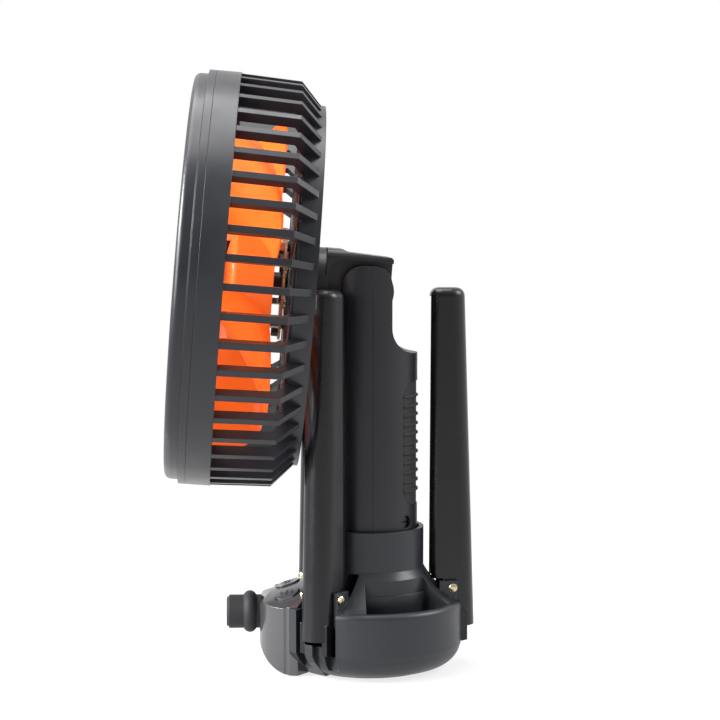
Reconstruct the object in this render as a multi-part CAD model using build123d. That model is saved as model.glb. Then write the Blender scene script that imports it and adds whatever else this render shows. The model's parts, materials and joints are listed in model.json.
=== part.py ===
from build123d import *
import math
import os

# Portable camping fan: a slatted head on a tilting yoke, a battery column, and a
# base whose three legs fold up against the column.
# Millimetres. Origin: column axis at the table. -X is where the fan blows, +Z is up.

os.makedirs("parts", exist_ok=True)

# ---- Shared fits ----------------------------------------------------------------
RUNNING_GAP = 0.05      # radial, pin in its bore
SEAT_GAP = 0.1          # between two pieces of one housing
MOVING_GAP = 0.35       # round a button, a knob or a leg
WALL = 2.4              # moulded walls
BITE = 1.0              # how far joined forms reach into each other

# ---- Screws and boards, shared --------------------------------------------------
SCREW_R = 1.4
SCREW_HEAD_R = 3.0
SCREW_HEAD_H = 1.8
SCREW_SLOT_W = 0.8
SMALL_HEAD_R = 2.4
SMALL_HEAD_H = 1.2
HEAD_CLEARANCE = 0.2    # radial, round a sunk screw head
BOARD_T = 1.6

# ---- Column ---------------------------------------------------------------------
COLUMN_R = 23.1
COLUMN_FOOT = 50.0      # height of the column's lower end, inside the collar
SHOULDER_Z = 154.5      # where the full round ends
SHOULDER_R = 12.5       # concave step up to the ears
PIVOT_X = -2.4
PIVOT_Z = 184.35
EAR_HALF = 11.85        # half width of an ear, about the pivot
EAR_RISE = 12.5         # ear top above the pivot
EAR_CORNER_R = 9.0
FORK_FLOOR_GAP = 0.8    # knuckle to the floor of the fork
WASHER_GAP = 0.05       # washer to knuckle and to ear
WASHER_T = 0.4
WASHER_R = 8.0
SHAFT_R = 3.0
SHAFT_HALF = 19.5

# ---- Grip -----------------------------------------------------------------------
GRIP_LOW = 80.5
GRIP_HIGH = 141.0
GRIP_HALF = 17.6
GRIP_CORNER_R = 8.0
GRIP_DEPTH = 1.2
GRIP_SKIN_DROP = 0.5    # skin between the ribs, below the column's surface
GRIP_RIBS = 11
GRIP_RIB_PITCH = 4.6
GRIP_RIB_H = 1.7        # foot of a rib
GRIP_RIB_TIP_H = 0.7
GRIP_PROUD = 0.4        # rib tips beyond the column

# ---- Inside the column ------------------------------------------------------------
CELL_R = 9.2
CELLS = 3
CELL_START = 60.0       # azimuth of the first cell
CELL_LENGTH = 65.0
CELL_EDGE_R = 1.0
CELL_LOW = 84.0
TRAY_T = 2.5
TRAY_GAP = 0.3
TRAY_HOLE_R = 3.0
MAIN_BOARD_W = 34.0
MAIN_BOARD_H = 24.0
MAIN_BOARD_DROP = 3.2   # board's top edge below the cells
SCREW_AZIMUTH = 44.0
SCREW_Z = 73.0
SCREW_SINK = 3.4        # seat of a column screw below the surface
BOSS_R = 4.6
BOSS_START = 13.0       # inner end of a screw boss, off the column's axis

# ---- Collar and base --------------------------------------------------------------
COLLAR_R = 26.3
COLLAR_BORE_R = 24.2
COLLAR_TOP = 69.2
BASE_R = 45.1
BASE_TOP = 33.4
BASE_RIM_R = 2.8        # round on the rim of a lobe
BASE_LOW = 1.0          # the housing stands this far off the table, on its rubber foot
BASE_FLAT_R = 33.0
FLARE_MID = (33.4, 40.2)
SKIRT_IN = 1.2          # inset of the skirt's lower corner
SKIRT_MID = (40.2, 4.1)
SKIRT_LOW = 9.0
SKIRT_HIGH = 12.7
SCOOP_FLOOR = 21.0
SCOOP_RIM = 2.7         # thickness of the rim outside a scoop
SCOOP_INNER_R = 28.6
SCOOP_LEDGE = 1.2       # width of the ledge in its back wall
SCOOP_LEDGE_Z = 39.0
SCOOP_START = 30.0      # azimuth of the scoop's rear end, off +X
SCOOP_FRONT_X = -4.2    # plane of its front end
SCOOP_SWEEP_END = 120.0 # azimuth past that plane
COVER_T = 2.0
COVER_R = 32.0
COVER_SINK = 0.2        # screw heads in the cover
BASE_SCREWS = 3
BASE_SCREW_PCR = 17.0
BASE_SCREW_TOP = 12.5
BASE_SCREW_START = 60.0 # azimuth of the first screw
FOOT_R = 30.5

# ---- Legs -------------------------------------------------------------------------
LEG_AZIMUTH = 128.0     # front legs, off +X; the third leg is at the rear
LEG_HALF = 7.8
LEG_WALL = 2.2
LEG_LOW = 20.0
LEG_TOP = 186.0
LEG_INNER_LOW = 28.4    # distance of the open side from the column axis, low end
LEG_INNER_TOP = 29.3
LEG_OUTER_LOW = 51.4
LEG_OUTER_TOP = 46.2
LEG_INNER_CORNER_R = 5.4
LEG_TIP_R = 4.2
LEG_NOTCH_Z = 43.6
LEG_NOTCH_RHO = 35.6
PIN_RHO = 40.0
PIN_Z = 39.65
PIN_R = 1.6
PIN_HEAD_R = 2.05
PIN_HEAD_H = 0.8
CAM_R = 27.4            # the leg's lower lobes, about the pin
CAM_RHO = 47.4          # their outer face
CAM_TOP = 28.0
RIB_HALF = 4.6
RIB_GAP = 0.6           # leg's end to the rib under it, about the pin
SLOT_HALF = 10.4
SLOT_FLOOR = 5.2
CHEEK_RHO = 33.4        # inner edge of the hinge cheeks
CHEEK_END = 2.2         # cheek beyond the pin
CHEEK_RISE = 3.2        # cheek above the pin
CHEEK_LOW = 26.0
BAY_ROOF = 0.6          # floor left above a bay
BAY_CORE = 12.0         # inner end of the lug
COLLAR_GAP = 0.9        # collar to the leg's slot
LUG_END_R = 4.8
LUG_SLOPE = 6.0         # rise of the lug's underside towards the core

# ---- Control pod ------------------------------------------------------------------
POD_REACH = 9.3         # pod's front beyond the base
POD_HALF = 25.8
POD_CORNER_R = 20.0
POD_LENGTH = 80.0       # plan form, before the back is cut off
POD_LOW = 0.5
POD_HEEL = 14.4         # start of the lower curve behind the front
POD_HEEL_MID = (5.0, 4.9)   # point of that curve: behind the front, and height
POD_CHIN_Z = 14.0
POD_SHOULDER_Z = 31.0   # top of the upright front
POD_BROW = 7.1          # brow behind the front
POD_BROW_Z = 38.15
POD_BROW_MID = (2.8, 35.7)
POD_BROW_SHARE = 0.7    # share of an inset taken by the brow
POD_SLOPE = 18.5        # control face, degrees
POD_DEPTH = 23.4        # front to back
POD_CROWN_R = 48.0
POD_STRIP_STEP = 3.1    # upright strips beside the pod, beyond the base
POD_STRIP_CORE_R = 20.0
POD_STRIP_FLAT = 4.0
GROOVE_R = 2.1          # upright groove between pod and strip
GROOVE_BACK = 12.2      # its axis behind the pod's front
GROOVE_Y = 25.9
GROOVE_TOP = 34.0
BUTTON_LENGTH = 12.0
BUTTON_WIDTH = 8.2
BUTTON_PITCH = 14.0     # across the fan
BUTTON_ALONG = 5.9      # side buttons: from the brow, along the slope
BUTTON_MID_STEP = 1.3   # middle button further up the slope
BUTTON_PROUD = 0.8
BUTTON_DEPTH = 5.6
BUTTON_TRAVEL = 0.8
SWITCH_SIDE = 6.0
SWITCH_H = 2.6
PLUNGER_R = 1.6
PLUNGER_H = 0.8
CONTROL_BOARD_LOW = 0.8
CONTROL_BOARD_LENGTH = 10.0
CONTROL_BOARD_HALF = 17.3

# ---- Speed knob -------------------------------------------------------------------
KNOB_Z = 27.0
KNOB_NECK_R = 8.2
KNOB_BULGE_R = 10.2
KNOB_BULGE = (1.6, 4.6, 7.8)    # start, crest and end of the bulge, out from the pod
KNOB_SINK = 1.0         # inner end of the knob inside the pod
KNOB_LENGTH = 17.1
KNOB_EDGE_R = 1.2
KNOB_SHAFT_R = 3.0
KNOB_SHAFT_OUT = 9.0
BUSH_START = 0.5
BUSH_END = 5.5
CONTROL_SIDE = 10.4
CONTROL_T = 4.0

# ---- Head: distances along its axis are counted rearwards from the band's rear edge --
HEAD_TILT = 4.7         # degrees up at rest
HEAD_REACH = 67.8       # from the band's rear edge back to the tilt pivot
BAND_R = 100.0
BEZEL_INSET = 2.0
BEZEL_LIP = 7.0
BEZEL_LIP_R = 3.0
BEZEL_MOUTH_R = 1.2
BEZEL_FRONT = -22.0
BEZEL_STEP = -15.7
BEZEL_STEP_LEAN = 0.5
SEAM = -11.6
SLATS = 48
SLAT_T = 3.2
SLAT_DEPTH = 5.0
SLAT_INSET = 0.5        # slats below the band's surface
SLAT_TAPER = 1.3        # loss of radius from the band to the chamfer
SLAT_ROOT = 2.0         # slats inside the band
SLAT_SHOULDER = 29.0
SLAT_KNEE = 2.2
SLAT_END = 39.0
BAND_LEDGE = 3.0
BAND_LEDGE_DEPTH = 0.8
CAGE_CHAMFER = 12.7     # rear ring inside the band
CAGE_RING_T = 2.6
CAGE_RING_FRONT = 31.5
CAGE_BACK = 41.0
REAR_RIBS = 24
REAR_RIB_T = 2.2
REAR_RIB_FRONT = 30.2
HUB_PLATE_R = 35.0
HUB_PLATE_FRONT = 31.5
HUB_PLATE_BACK = 33.7
HUB_RIM = 2.0
HUB_HOLE_R = 6.0

# ---- Front grille -------------------------------------------------------------------
FINS = 36
FIN_T = 1.4
FIN_SWEEP = 24.0        # degrees of lean from hub to rim
FIN_SWEEP_MID = 7.7     # degrees of lean half way
FIN_INSET = 0.4
GRILLE_FRONT = -19.4
GRILLE_DEPTH = 4.4
GRILLE_HUB_R = 24.0
GRILLE_RINGS = 3
GRILLE_RING_INSET = 1.2
CAP_PROUD = 1.4
CAP_RIM = 0.3

# ---- Impeller and motor ---------------------------------------------------------------
BLADES = 5
BLADE_START = 46.0      # azimuth of the first blade, off the head's top
BLADE_TIP_GAP = 11.2    # blade tips to the slats
BLADE_ROOT_CHORD = 34.0
BLADE_TIP_CHORD = 62.0
BLADE_ROOT_PITCH = 46.0
BLADE_TIP_PITCH = 24.0
BLADE_T = 2.0
BLADE_CAMBER = 5.0
BLADE_MID = 10.4
HUB_R = 29.0
HUB_FRONT = 1.5
HUB_BACK = 22.6
HUB_NOSE_R = 4.0
CAP_R = 21.0
CAP_T = 1.2
CAP_RISE = 3.4
ROTOR_R = 21.0
ROTOR_T = 1.0
ROTOR_FRONT = 4.0
ROTOR_BACK = 22.0
MAGNET_T = 2.4
MAGNET_START = 2.0
MAGNET_SHORT = 0.5
AIR_GAP = 0.6
STATOR_TEETH = 9
STATOR_CORE_R = 9.0
STATOR_FRONT = 8.0
STATOR_BACK = 19.0
TOOTH_HALF = 1.5
SHOE_T = 1.8
SHOE_HALF = 4.4
COIL_HALF = 2.4
COIL_END = 1.0
MOTOR_SHAFT_R = 1.5
SHAFT_PROUD = 0.3
BEARING_R = 4.0
BEARING_LENGTH = 4.0
BEARING_FRONT = 6.5
BEARING_BACK = 21.0
BEARING_TUBE_R = 5.6
MOTOR_BOARD_R = 27.0
MOTOR_BOARD_BORE = 0.3  # radial, round the bearing tube
MOTOR_BOARD_FRONT = 26.8
MOTOR_BOARD_T = 1.2
MOUNT_R = 31.0
MOUNT_T = 2.0
POST_R = 2.6
MOTOR_SCREW_PCR = 21.5
MOTOR_SCREWS = 3
MOTOR_SCREW_START = 30.0

# ---- Neck -----------------------------------------------------------------------------
NECK_R = 19.5
NECK_CORNER_R = 5.0
NECK_ROOF = 18.2        # roof above the pivot
NECK_ROOF_START = (13.2, 9.7)   # roof's upper slope, ahead of the pivot
NECK_ROOF_DROP = 0.9    # fall of the roof to its rear end
NECK_ROOF_T = 2.9
NECK_ROOF_THICKEN = 0.3
NECK_REAR = 11.4        # rear end behind the pivot
NECK_POCKET = 19.5      # front wall of the ear pockets, ahead of the pivot
NECK_POCKET_R = 7.0
KNUCKLE_HALF = 12.2
KNUCKLE_R = 13.2
KNUCKLE_BACK_SHARE = 0.9    # corners of the web inside the knuckle, as shares of its radius
KNUCKLE_LOW_SHARE = 0.8
KNUCKLE_FORE_SHARE = 0.6
KNUCKLE_CUT = 8.6       # lower end of the flat behind the knuckle
NECK_SCREWS = 4
NECK_SCREW_START = 45.0
NECK_SCREW_PCR = 13.0
NECK_SCREW_BITE = 8.0

# ---- Derived ----------------------------------------------------------------------------
TILT = math.radians(HEAD_TILT)
AXIS_X = math.cos(TILT)
AXIS_Z = -math.sin(TILT)
HEAD = Plane(
    origin=(PIVOT_X - HEAD_REACH * AXIS_X, 0, PIVOT_Z - HEAD_REACH * AXIS_Z),
    x_dir=(-AXIS_Z, 0, AXIS_X),
    z_dir=(AXIS_X, 0, AXIS_Z),
).location
BEZEL_R = BAND_R - BEZEL_INSET
BEZEL_OPEN_R = BEZEL_R - BEZEL_LIP
SLAT_R = BAND_R - SLAT_INSET
CAGE_RING_R = BAND_R - CAGE_CHAMFER
BLADE_TIP_R = SLAT_R - SLAT_TAPER - SLAT_DEPTH - BLADE_TIP_GAP
FORK_HALF = KNUCKLE_HALF + WASHER_T + 2 * WASHER_GAP
COLUMN_BORE_R = COLUMN_R - WALL
SCOOP_OUTER_R = BASE_R - SCOOP_RIM
LEG_ANGLES = {"rear": 0.0, "far": LEG_AZIMUTH, "near": -LEG_AZIMUTH}
LEG_END_R = math.hypot(LEG_OUTER_LOW - PIN_RHO, PIN_Z - LEG_LOW)
CAM_CLEAR_R = CAM_R + 2 * MOVING_GAP
CAM_INNER_HALF = RIB_HALF + MOVING_GAP
POD_FRONT = -(BASE_R + POD_REACH)
POD_STRIP_R = BASE_R + POD_STRIP_STEP
POD_BROW_X = POD_FRONT + POD_BROW
POD_BACK = POD_FRONT + POD_DEPTH
SLOPE = math.radians(POD_SLOPE)
FACE = Plane(
    origin=(POD_BROW_X, 0, POD_BROW_Z),
    x_dir=(math.cos(SLOPE), 0, math.sin(SLOPE)),
    z_dir=(-math.sin(SLOPE), 0, math.cos(SLOPE)),
).location
KNOB_AXIS = Pos(POD_FRONT, 0, KNOB_Z) * Rot(0, 90, 0)
BUTTON_FLOOR = -(BUTTON_DEPTH + BUTTON_TRAVEL + SEAT_GAP)
SWITCH_BASE = BUTTON_FLOOR - PLUNGER_H - SWITCH_H
BUTTONS = {
    "near_button": (-BUTTON_PITCH, BUTTON_ALONG),
    "middle_button": (0.0, BUTTON_ALONG + BUTTON_MID_STEP),
    "far_button": (BUTTON_PITCH, BUTTON_ALONG),
}
MOUNT_BACK = HUB_PLATE_FRONT - SEAT_GAP
MOUNT_FRONT = MOUNT_BACK - MOUNT_T
BIG = 400.0
LOW = (Align.CENTER, Align.CENTER, Align.MIN)


# ---- Helpers ------------------------------------------------------------------------------
def disc(radius, start, end):
    """Cylinder about the local Z axis between two heights."""
    return Pos(0, 0, start) * Cylinder(radius, end - start, align=LOW)


def tube(outer, inner, start, end):
    """Plain tube about the local Z axis."""
    return disc(outer, start, end) - disc(inner, start, end)


def block(x0, x1, y0, y1, z0, z1):
    """Box between two corners."""
    middle = Pos((x0 + x1) / 2, (y0 + y1) / 2, (z0 + z1) / 2)
    return middle * Box(abs(x1 - x0), abs(y1 - y0), abs(z1 - z0))


def turned(*points):
    """Solid of revolution of a (radius, height) outline."""
    return revolve(Plane.XZ * make_face(Polyline(*points, close=True)), Axis.Z)


def plate(outline, half):
    """Extrude an X-Z outline to both sides of Y = 0."""
    return extrude(Plane.XZ * outline, half, both=True)


def across(radius, half, x=0.0, z=0.0):
    """Cylinder along Y, centred on Y = 0."""
    return Pos(x, 0, z) * Rot(90, 0, 0) * Cylinder(radius, 2 * half)


def dome(radius, rim, crown):
    """Arc of a spherical cap from its rim at (radius, rim) to the axis at (0, crown)."""
    rise = abs(crown - rim)
    sphere = (radius ** 2 + rise ** 2) / (2 * rise)
    toward = 1 if crown < rim else -1
    half = crown + toward * (sphere - math.sqrt(sphere ** 2 - radius ** 2 / 4))
    return ThreePointArc((radius, rim), (radius / 2, half), (0, crown))


def ringed(shape, count, start=0.0):
    """Copies of a shape turned about the local Z axis."""
    return [Rot(0, 0, start + 360.0 * k / count) * shape for k in range(count)]


def save(name, shape):
    """Write one node."""
    export_step(shape, f"parts/{name}.step")


# ---- Head: bezel, grille, cage ---------------------------------------------------------------
def front_bezel():
    """Front ring with a rounded lip, a step up to the band, and a tongue inside it."""
    tongue = BAND_R - WALL - 2 * SEAT_GAP
    back = SEAM - SEAT_GAP / 2
    outline = Polyline(
        (BEZEL_OPEN_R, BEZEL_FRONT),
        (BEZEL_R, BEZEL_FRONT),
        (BEZEL_R, BEZEL_STEP),
        (BAND_R, BEZEL_STEP + BEZEL_STEP_LEAN),
        (BAND_R, back),
        (tongue, back),
        (tongue, SEAM + WALL),
        (BEZEL_R - WALL, SEAM + WALL),
        (BEZEL_R - WALL, BEZEL_FRONT + WALL),
        (BEZEL_OPEN_R, BEZEL_FRONT + WALL),
        close=True,
    )
    section = make_face(outline)
    lip = section.vertices().sort_by_distance((BEZEL_R, BEZEL_FRONT, 0))[0]
    section = fillet(lip, BEZEL_LIP_R)
    mouth = section.vertices().sort_by_distance((BEZEL_OPEN_R, BEZEL_FRONT, 0))[0]
    section = fillet(mouth, BEZEL_MOUTH_R)
    return revolve(Plane.XZ * section, Axis.Z)


def front_grille():
    """Rim, leaning fins, rings and a hub ring."""
    back = GRILLE_FRONT + GRILLE_DEPTH
    rim_r = BEZEL_R - WALL - SEAT_GAP
    rim = tube(rim_r, BEZEL_OPEN_R - BITE, GRILLE_FRONT + SEAT_GAP, back)
    inner = GRILLE_HUB_R - BITE / 2
    middle = (inner + BEZEL_OPEN_R) / 2
    half_lean = math.radians(FIN_SWEEP_MID)
    lean = math.radians(FIN_SWEEP)
    path = ThreePointArc(
        (inner, 0),
        (middle * math.cos(half_lean), middle * math.sin(half_lean)),
        (BEZEL_OPEN_R * math.cos(lean), BEZEL_OPEN_R * math.sin(lean)),
    )
    fin_front = GRILLE_FRONT + FIN_INSET
    fin = Pos(0, 0, fin_front) * extrude(trace(path, FIN_T), back - FIN_INSET - fin_front)
    span = BEZEL_OPEN_R - GRILLE_HUB_R
    rings = []
    for k in range(GRILLE_RINGS):
        radius = GRILLE_HUB_R + span * (k + 1) / (GRILLE_RINGS + 1)
        rings.append(tube(
            radius + FIN_T / 2, radius - FIN_T / 2,
            GRILLE_FRONT + GRILLE_RING_INSET, back - GRILLE_RING_INSET,
        ))
    hub = tube(GRILLE_HUB_R, GRILLE_HUB_R - WALL, GRILLE_FRONT, back)
    return rim + hub + ringed(fin, FINS) + rings


def front_hub_cap():
    """Low dome that fills the grille's hub ring."""
    radius = GRILLE_HUB_R - WALL - SEAT_GAP
    front = GRILLE_FRONT - CAP_PROUD
    back = GRILLE_FRONT + GRILLE_DEPTH - FIN_INSET
    rim = GRILLE_FRONT + CAP_RIM
    outline = Polyline((0, front), (0, back), (radius, back), (radius, rim)) + dome(radius, rim, front)
    return revolve(Plane.XZ * make_face(outline), Axis.Z)


def rear_cage():
    """Band, outer slats and rear ring."""
    band = tube(BAND_R, BAND_R - WALL, SEAM + SEAT_GAP / 2, 0)
    ledge = tube(BAND_R - WALL / 2, BAND_R - SLAT_DEPTH - BAND_LEDGE_DEPTH, -BAND_LEDGE, 0)
    side = SLAT_R - SLAT_TAPER
    ring_in = CAGE_RING_R - CAGE_RING_T
    slat_outline = Polyline(
        (SLAT_R, -SLAT_ROOT),
        (SLAT_R, 0),
        (side, SLAT_SHOULDER),
        (CAGE_RING_R, SLAT_END),
        (ring_in, SLAT_END - BITE),
        (ring_in, CAGE_RING_FRONT + BITE),
        (side - SLAT_DEPTH, SLAT_SHOULDER - SLAT_KNEE),
        (SLAT_R - SLAT_DEPTH, -SLAT_ROOT),
        close=True,
    )
    slat = plate(make_face(slat_outline), SLAT_T / 2)
    ring = tube(CAGE_RING_R, ring_in, CAGE_RING_FRONT, CAGE_BACK)
    return band + ledge + ring + ringed(slat, SLATS)


def rear_guard():
    """Radial rear ribs round a rimmed hub plate, inside the rear ring."""
    outer = CAGE_RING_R - CAGE_RING_T - SEAT_GAP
    hoop = tube(outer, outer - REAR_RIB_T, REAR_RIB_FRONT, HUB_PLATE_BACK)
    hub = tube(HUB_PLATE_R, HUB_HOLE_R, HUB_PLATE_FRONT, HUB_PLATE_BACK)
    rim = tube(HUB_PLATE_R, MOUNT_R + 2 * SEAT_GAP, HUB_PLATE_FRONT - HUB_RIM, HUB_PLATE_BACK)
    rib = block(
        HUB_PLATE_R - BITE, outer - REAR_RIB_T / 2,
        -REAR_RIB_T / 2, REAR_RIB_T / 2, REAR_RIB_FRONT, HUB_PLATE_BACK,
    )
    hole = Pos(NECK_SCREW_PCR, 0, 0) * disc(SCREW_R + SEAT_GAP, 0, CAGE_BACK)
    return hoop + hub + rim + ringed(rib, REAR_RIBS) - ringed(hole, NECK_SCREWS, NECK_SCREW_START)


# ---- Head: impeller and motor -----------------------------------------------------------------
def blade():
    """One twisted blade, lofted through three cambered sections."""
    root = HUB_R - WALL
    tip = BLADE_TIP_R + WALL
    edge = BLADE_T / 4
    sections = []
    for share in (0.0, 0.5, 1.0):
        radius = root + share * (tip - root)
        half = (BLADE_ROOT_CHORD + share * (BLADE_TIP_CHORD - BLADE_ROOT_CHORD)) / 2
        pitch = BLADE_ROOT_PITCH + share * (BLADE_TIP_PITCH - BLADE_ROOT_PITCH)
        outline = (
            ThreePointArc((-half, edge), (0, BLADE_CAMBER + BLADE_T / 2), (half, edge))
            + Line((half, edge), (half, -edge))
            + ThreePointArc((half, -edge), (0, BLADE_CAMBER - BLADE_T / 2), (-half, -edge))
            + Line((-half, -edge), (-half, edge))
        )
        place = Plane(origin=(radius, 0, BLADE_MID), x_dir=(0, 1, 0), z_dir=(1, 0, 0))
        sections.append(place * Rot(0, 0, pitch) * make_face(outline))
    return loft(sections)


def fan_blade():
    """Hub cup and five blades in one moulding."""
    reach = tube(BLADE_TIP_R, HUB_R - BITE, -BLADE_TIP_R, BLADE_TIP_R)
    vane = blade() & reach
    cup = disc(HUB_R, HUB_FRONT, HUB_BACK)
    nose = cup.edges().filter_by(GeomType.CIRCLE).sort_by(Axis.Z)[0]
    cup = fillet(nose, HUB_NOSE_R)
    cup -= disc(HUB_R - WALL, ROTOR_FRONT - SEAT_GAP, HUB_BACK)
    impeller = cup + ringed(vane, BLADES, BLADE_START)
    impeller -= disc(MOTOR_SHAFT_R + SEAT_GAP, HUB_FRONT - BITE, ROTOR_FRONT)
    screw_hole = Pos(MOTOR_SCREW_PCR / 2, 0, 0) * disc(SCREW_R + SEAT_GAP, HUB_FRONT - BITE, ROTOR_FRONT)
    return impeller - ringed(screw_hole, MOTOR_SCREWS)


def blade_screws():
    """Screws that hold the impeller to the rotor."""
    head = disc(SMALL_HEAD_R, HUB_FRONT - SMALL_HEAD_H, HUB_FRONT)
    screw = head + disc(SCREW_R, HUB_FRONT, ROTOR_FRONT + ROTOR_T)
    return Part() + ringed(Pos(MOTOR_SCREW_PCR / 2, 0, 0) * screw, MOTOR_SCREWS)


def blade_cap():
    """Domed cap over the screws on the impeller's nose."""
    front = HUB_FRONT - CAP_RISE
    back = HUB_FRONT - SEAT_GAP
    outline = (
        dome(CAP_R, back, front)
        + Line((0, front), (0, front + CAP_T))
        + dome(CAP_R - CAP_T, back, front + CAP_T)
        + Line((CAP_R - CAP_T, back), (CAP_R, back))
    )
    return revolve(Plane.XZ * make_face(outline), Axis.Z)


def rotor_cup():
    """Steel can of the outrunner."""
    can = disc(ROTOR_R, ROTOR_FRONT, ROTOR_BACK)
    can -= disc(ROTOR_R - ROTOR_T, ROTOR_FRONT + ROTOR_T, ROTOR_BACK)
    can -= disc(MOTOR_SHAFT_R, ROTOR_FRONT, ROTOR_BACK)
    hole = Pos(MOTOR_SCREW_PCR / 2, 0, 0) * disc(SCREW_R, ROTOR_FRONT, ROTOR_FRONT + ROTOR_T)
    return can - ringed(hole, MOTOR_SCREWS)


def rotor_magnet():
    """Magnet ring inside the can."""
    outer = ROTOR_R - ROTOR_T
    return tube(outer, outer - MAGNET_T, ROTOR_FRONT + MAGNET_START, ROTOR_BACK - MAGNET_SHORT)


def motor_stator():
    """Laminated star with a wound tooth at each arm."""
    face_r = ROTOR_R - ROTOR_T - MAGNET_T - AIR_GAP
    core = tube(STATOR_CORE_R, BEARING_TUBE_R + RUNNING_GAP, STATOR_FRONT, STATOR_BACK)
    tooth = block(STATOR_CORE_R - BITE, face_r - SHOE_T / 2, -TOOTH_HALF, TOOTH_HALF, STATOR_FRONT, STATOR_BACK)
    coil = block(
        STATOR_CORE_R + BITE / 2, face_r - SHOE_T - BITE / 2,
        -COIL_HALF, COIL_HALF, STATOR_FRONT - COIL_END, STATOR_BACK + COIL_END,
    )
    shoe = tube(face_r, face_r - SHOE_T, STATOR_FRONT, STATOR_BACK)
    shoe &= block(0, face_r + BITE, -SHOE_HALF, SHOE_HALF, STATOR_FRONT, STATOR_BACK)
    return core + ringed(tooth + coil + shoe, STATOR_TEETH)


def motor_shaft():
    """Steel shaft, pressed into the can and running in both bearings."""
    return disc(MOTOR_SHAFT_R, HUB_FRONT - SHAFT_PROUD, MOTOR_BOARD_FRONT)


def bearing(start):
    """Plain ball bearing, as a ring."""
    return tube(BEARING_R, MOTOR_SHAFT_R + RUNNING_GAP, start, start + BEARING_LENGTH)


def motor_mount():
    """Back plate with the bearing tube and three standoffs."""
    post = Pos(MOTOR_SCREW_PCR, 0, 0) * disc(POST_R, MOTOR_BOARD_FRONT + MOTOR_BOARD_T, MOUNT_FRONT)
    mount = disc(MOUNT_R, MOUNT_FRONT, MOUNT_BACK)
    mount += tube(BEARING_TUBE_R, BEARING_R, BEARING_FRONT - BITE / 2, MOUNT_FRONT)
    mount += ringed(post, MOTOR_SCREWS, MOTOR_SCREW_START)
    mount -= disc(MOTOR_SHAFT_R + BITE, MOUNT_FRONT - BITE, MOUNT_BACK)
    tapped = Pos(MOTOR_SCREW_PCR, 0, 0) * disc(SCREW_R, MOTOR_BOARD_FRONT, MOUNT_FRONT + BITE)
    through = Pos(NECK_SCREW_PCR, 0, 0) * disc(SCREW_R + SEAT_GAP, MOUNT_FRONT, MOUNT_BACK)
    mount -= ringed(tapped, MOTOR_SCREWS, MOTOR_SCREW_START)
    return mount - ringed(through, NECK_SCREWS, NECK_SCREW_START)


def motor_board():
    """Round drive board behind the rotor."""
    back = MOTOR_BOARD_FRONT + MOTOR_BOARD_T
    board = tube(MOTOR_BOARD_R, BEARING_TUBE_R + MOTOR_BOARD_BORE, MOTOR_BOARD_FRONT, back)
    hole = Pos(MOTOR_SCREW_PCR, 0, 0) * disc(SCREW_R + SEAT_GAP, MOTOR_BOARD_FRONT, back)
    return board - ringed(hole, MOTOR_SCREWS, MOTOR_SCREW_START)


def motor_screws():
    """Screws that hold the board to the standoffs."""
    head = disc(SMALL_HEAD_R, MOTOR_BOARD_FRONT - SMALL_HEAD_H, MOTOR_BOARD_FRONT)
    screw = head + disc(SCREW_R, MOTOR_BOARD_FRONT, MOUNT_FRONT)
    return Part() + ringed(Pos(MOTOR_SCREW_PCR, 0, 0) * screw, MOTOR_SCREWS, MOTOR_SCREW_START)


# ---- Head: neck -----------------------------------------------------------------------------------
def neck_yoke():
    """Round boss behind the cage, a roof over the fork, and the knuckle between its ears."""
    start = HUB_PLATE_BACK + SEAT_GAP
    wall = HEAD_REACH - NECK_POCKET
    rear = HEAD_REACH + NECK_REAR
    rear_top = NECK_ROOF - NECK_ROOF_DROP
    under = NECK_ROOF - NECK_ROOF_T - NECK_ROOF_THICKEN
    boss = disc(NECK_R, start, wall)
    roof_outline = Polyline(
        (under, wall - BITE),
        (NECK_R, wall - BITE),
        (NECK_R, HEAD_REACH - NECK_ROOF_START[0]),
        (NECK_ROOF, HEAD_REACH - NECK_ROOF_START[1]),
        (rear_top, rear - BITE),
        (rear_top - BITE, rear),
        (rear_top - NECK_ROOF_T, rear),
        close=True,
    )
    corner = block(under - NECK_POCKET_R, under + BITE, -NECK_R, NECK_R, wall - BITE, wall + NECK_POCKET_R)
    corner -= across(NECK_POCKET_R, NECK_R, under - NECK_POCKET_R, wall + NECK_POCKET_R)
    hood = plate(make_face(roof_outline), NECK_R) + corner
    hood &= Pos(0, 0, start) * extrude(RectangleRounded(2 * NECK_R, 2 * NECK_R, NECK_CORNER_R), rear)
    core_outline = Polyline(
        (-NECK_R + BITE, wall - BITE),
        (NECK_ROOF - BITE, wall - BITE),
        (rear_top - BITE, rear),
        (KNUCKLE_CUT, rear),
        (0, HEAD_REACH + KNUCKLE_R * KNUCKLE_BACK_SHARE),
        (0, HEAD_REACH),
        (-KNUCKLE_R * KNUCKLE_LOW_SHARE, HEAD_REACH - KNUCKLE_R * KNUCKLE_FORE_SHARE),
        close=True,
    )
    core = plate(make_face(core_outline), KNUCKLE_HALF)
    yoke = boss + hood + core + across(KNUCKLE_R, KNUCKLE_HALF, 0, HEAD_REACH)
    yoke -= across(SHAFT_R + RUNNING_GAP, BIG, 0, HEAD_REACH)
    tapped = Pos(NECK_SCREW_PCR, 0, 0) * disc(SCREW_R, start, start + NECK_SCREW_BITE)
    return yoke - ringed(tapped, NECK_SCREWS, NECK_SCREW_START)


def neck_screws():
    """Screws from the motor mount through the guard into the neck."""
    head = disc(SMALL_HEAD_R, MOUNT_FRONT - SMALL_HEAD_H, MOUNT_FRONT)
    screw = head + disc(SCREW_R, MOUNT_FRONT, HUB_PLATE_BACK + NECK_SCREW_BITE)
    return Part() + ringed(Pos(NECK_SCREW_PCR, 0, 0) * screw, NECK_SCREWS, NECK_SCREW_START)


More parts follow.
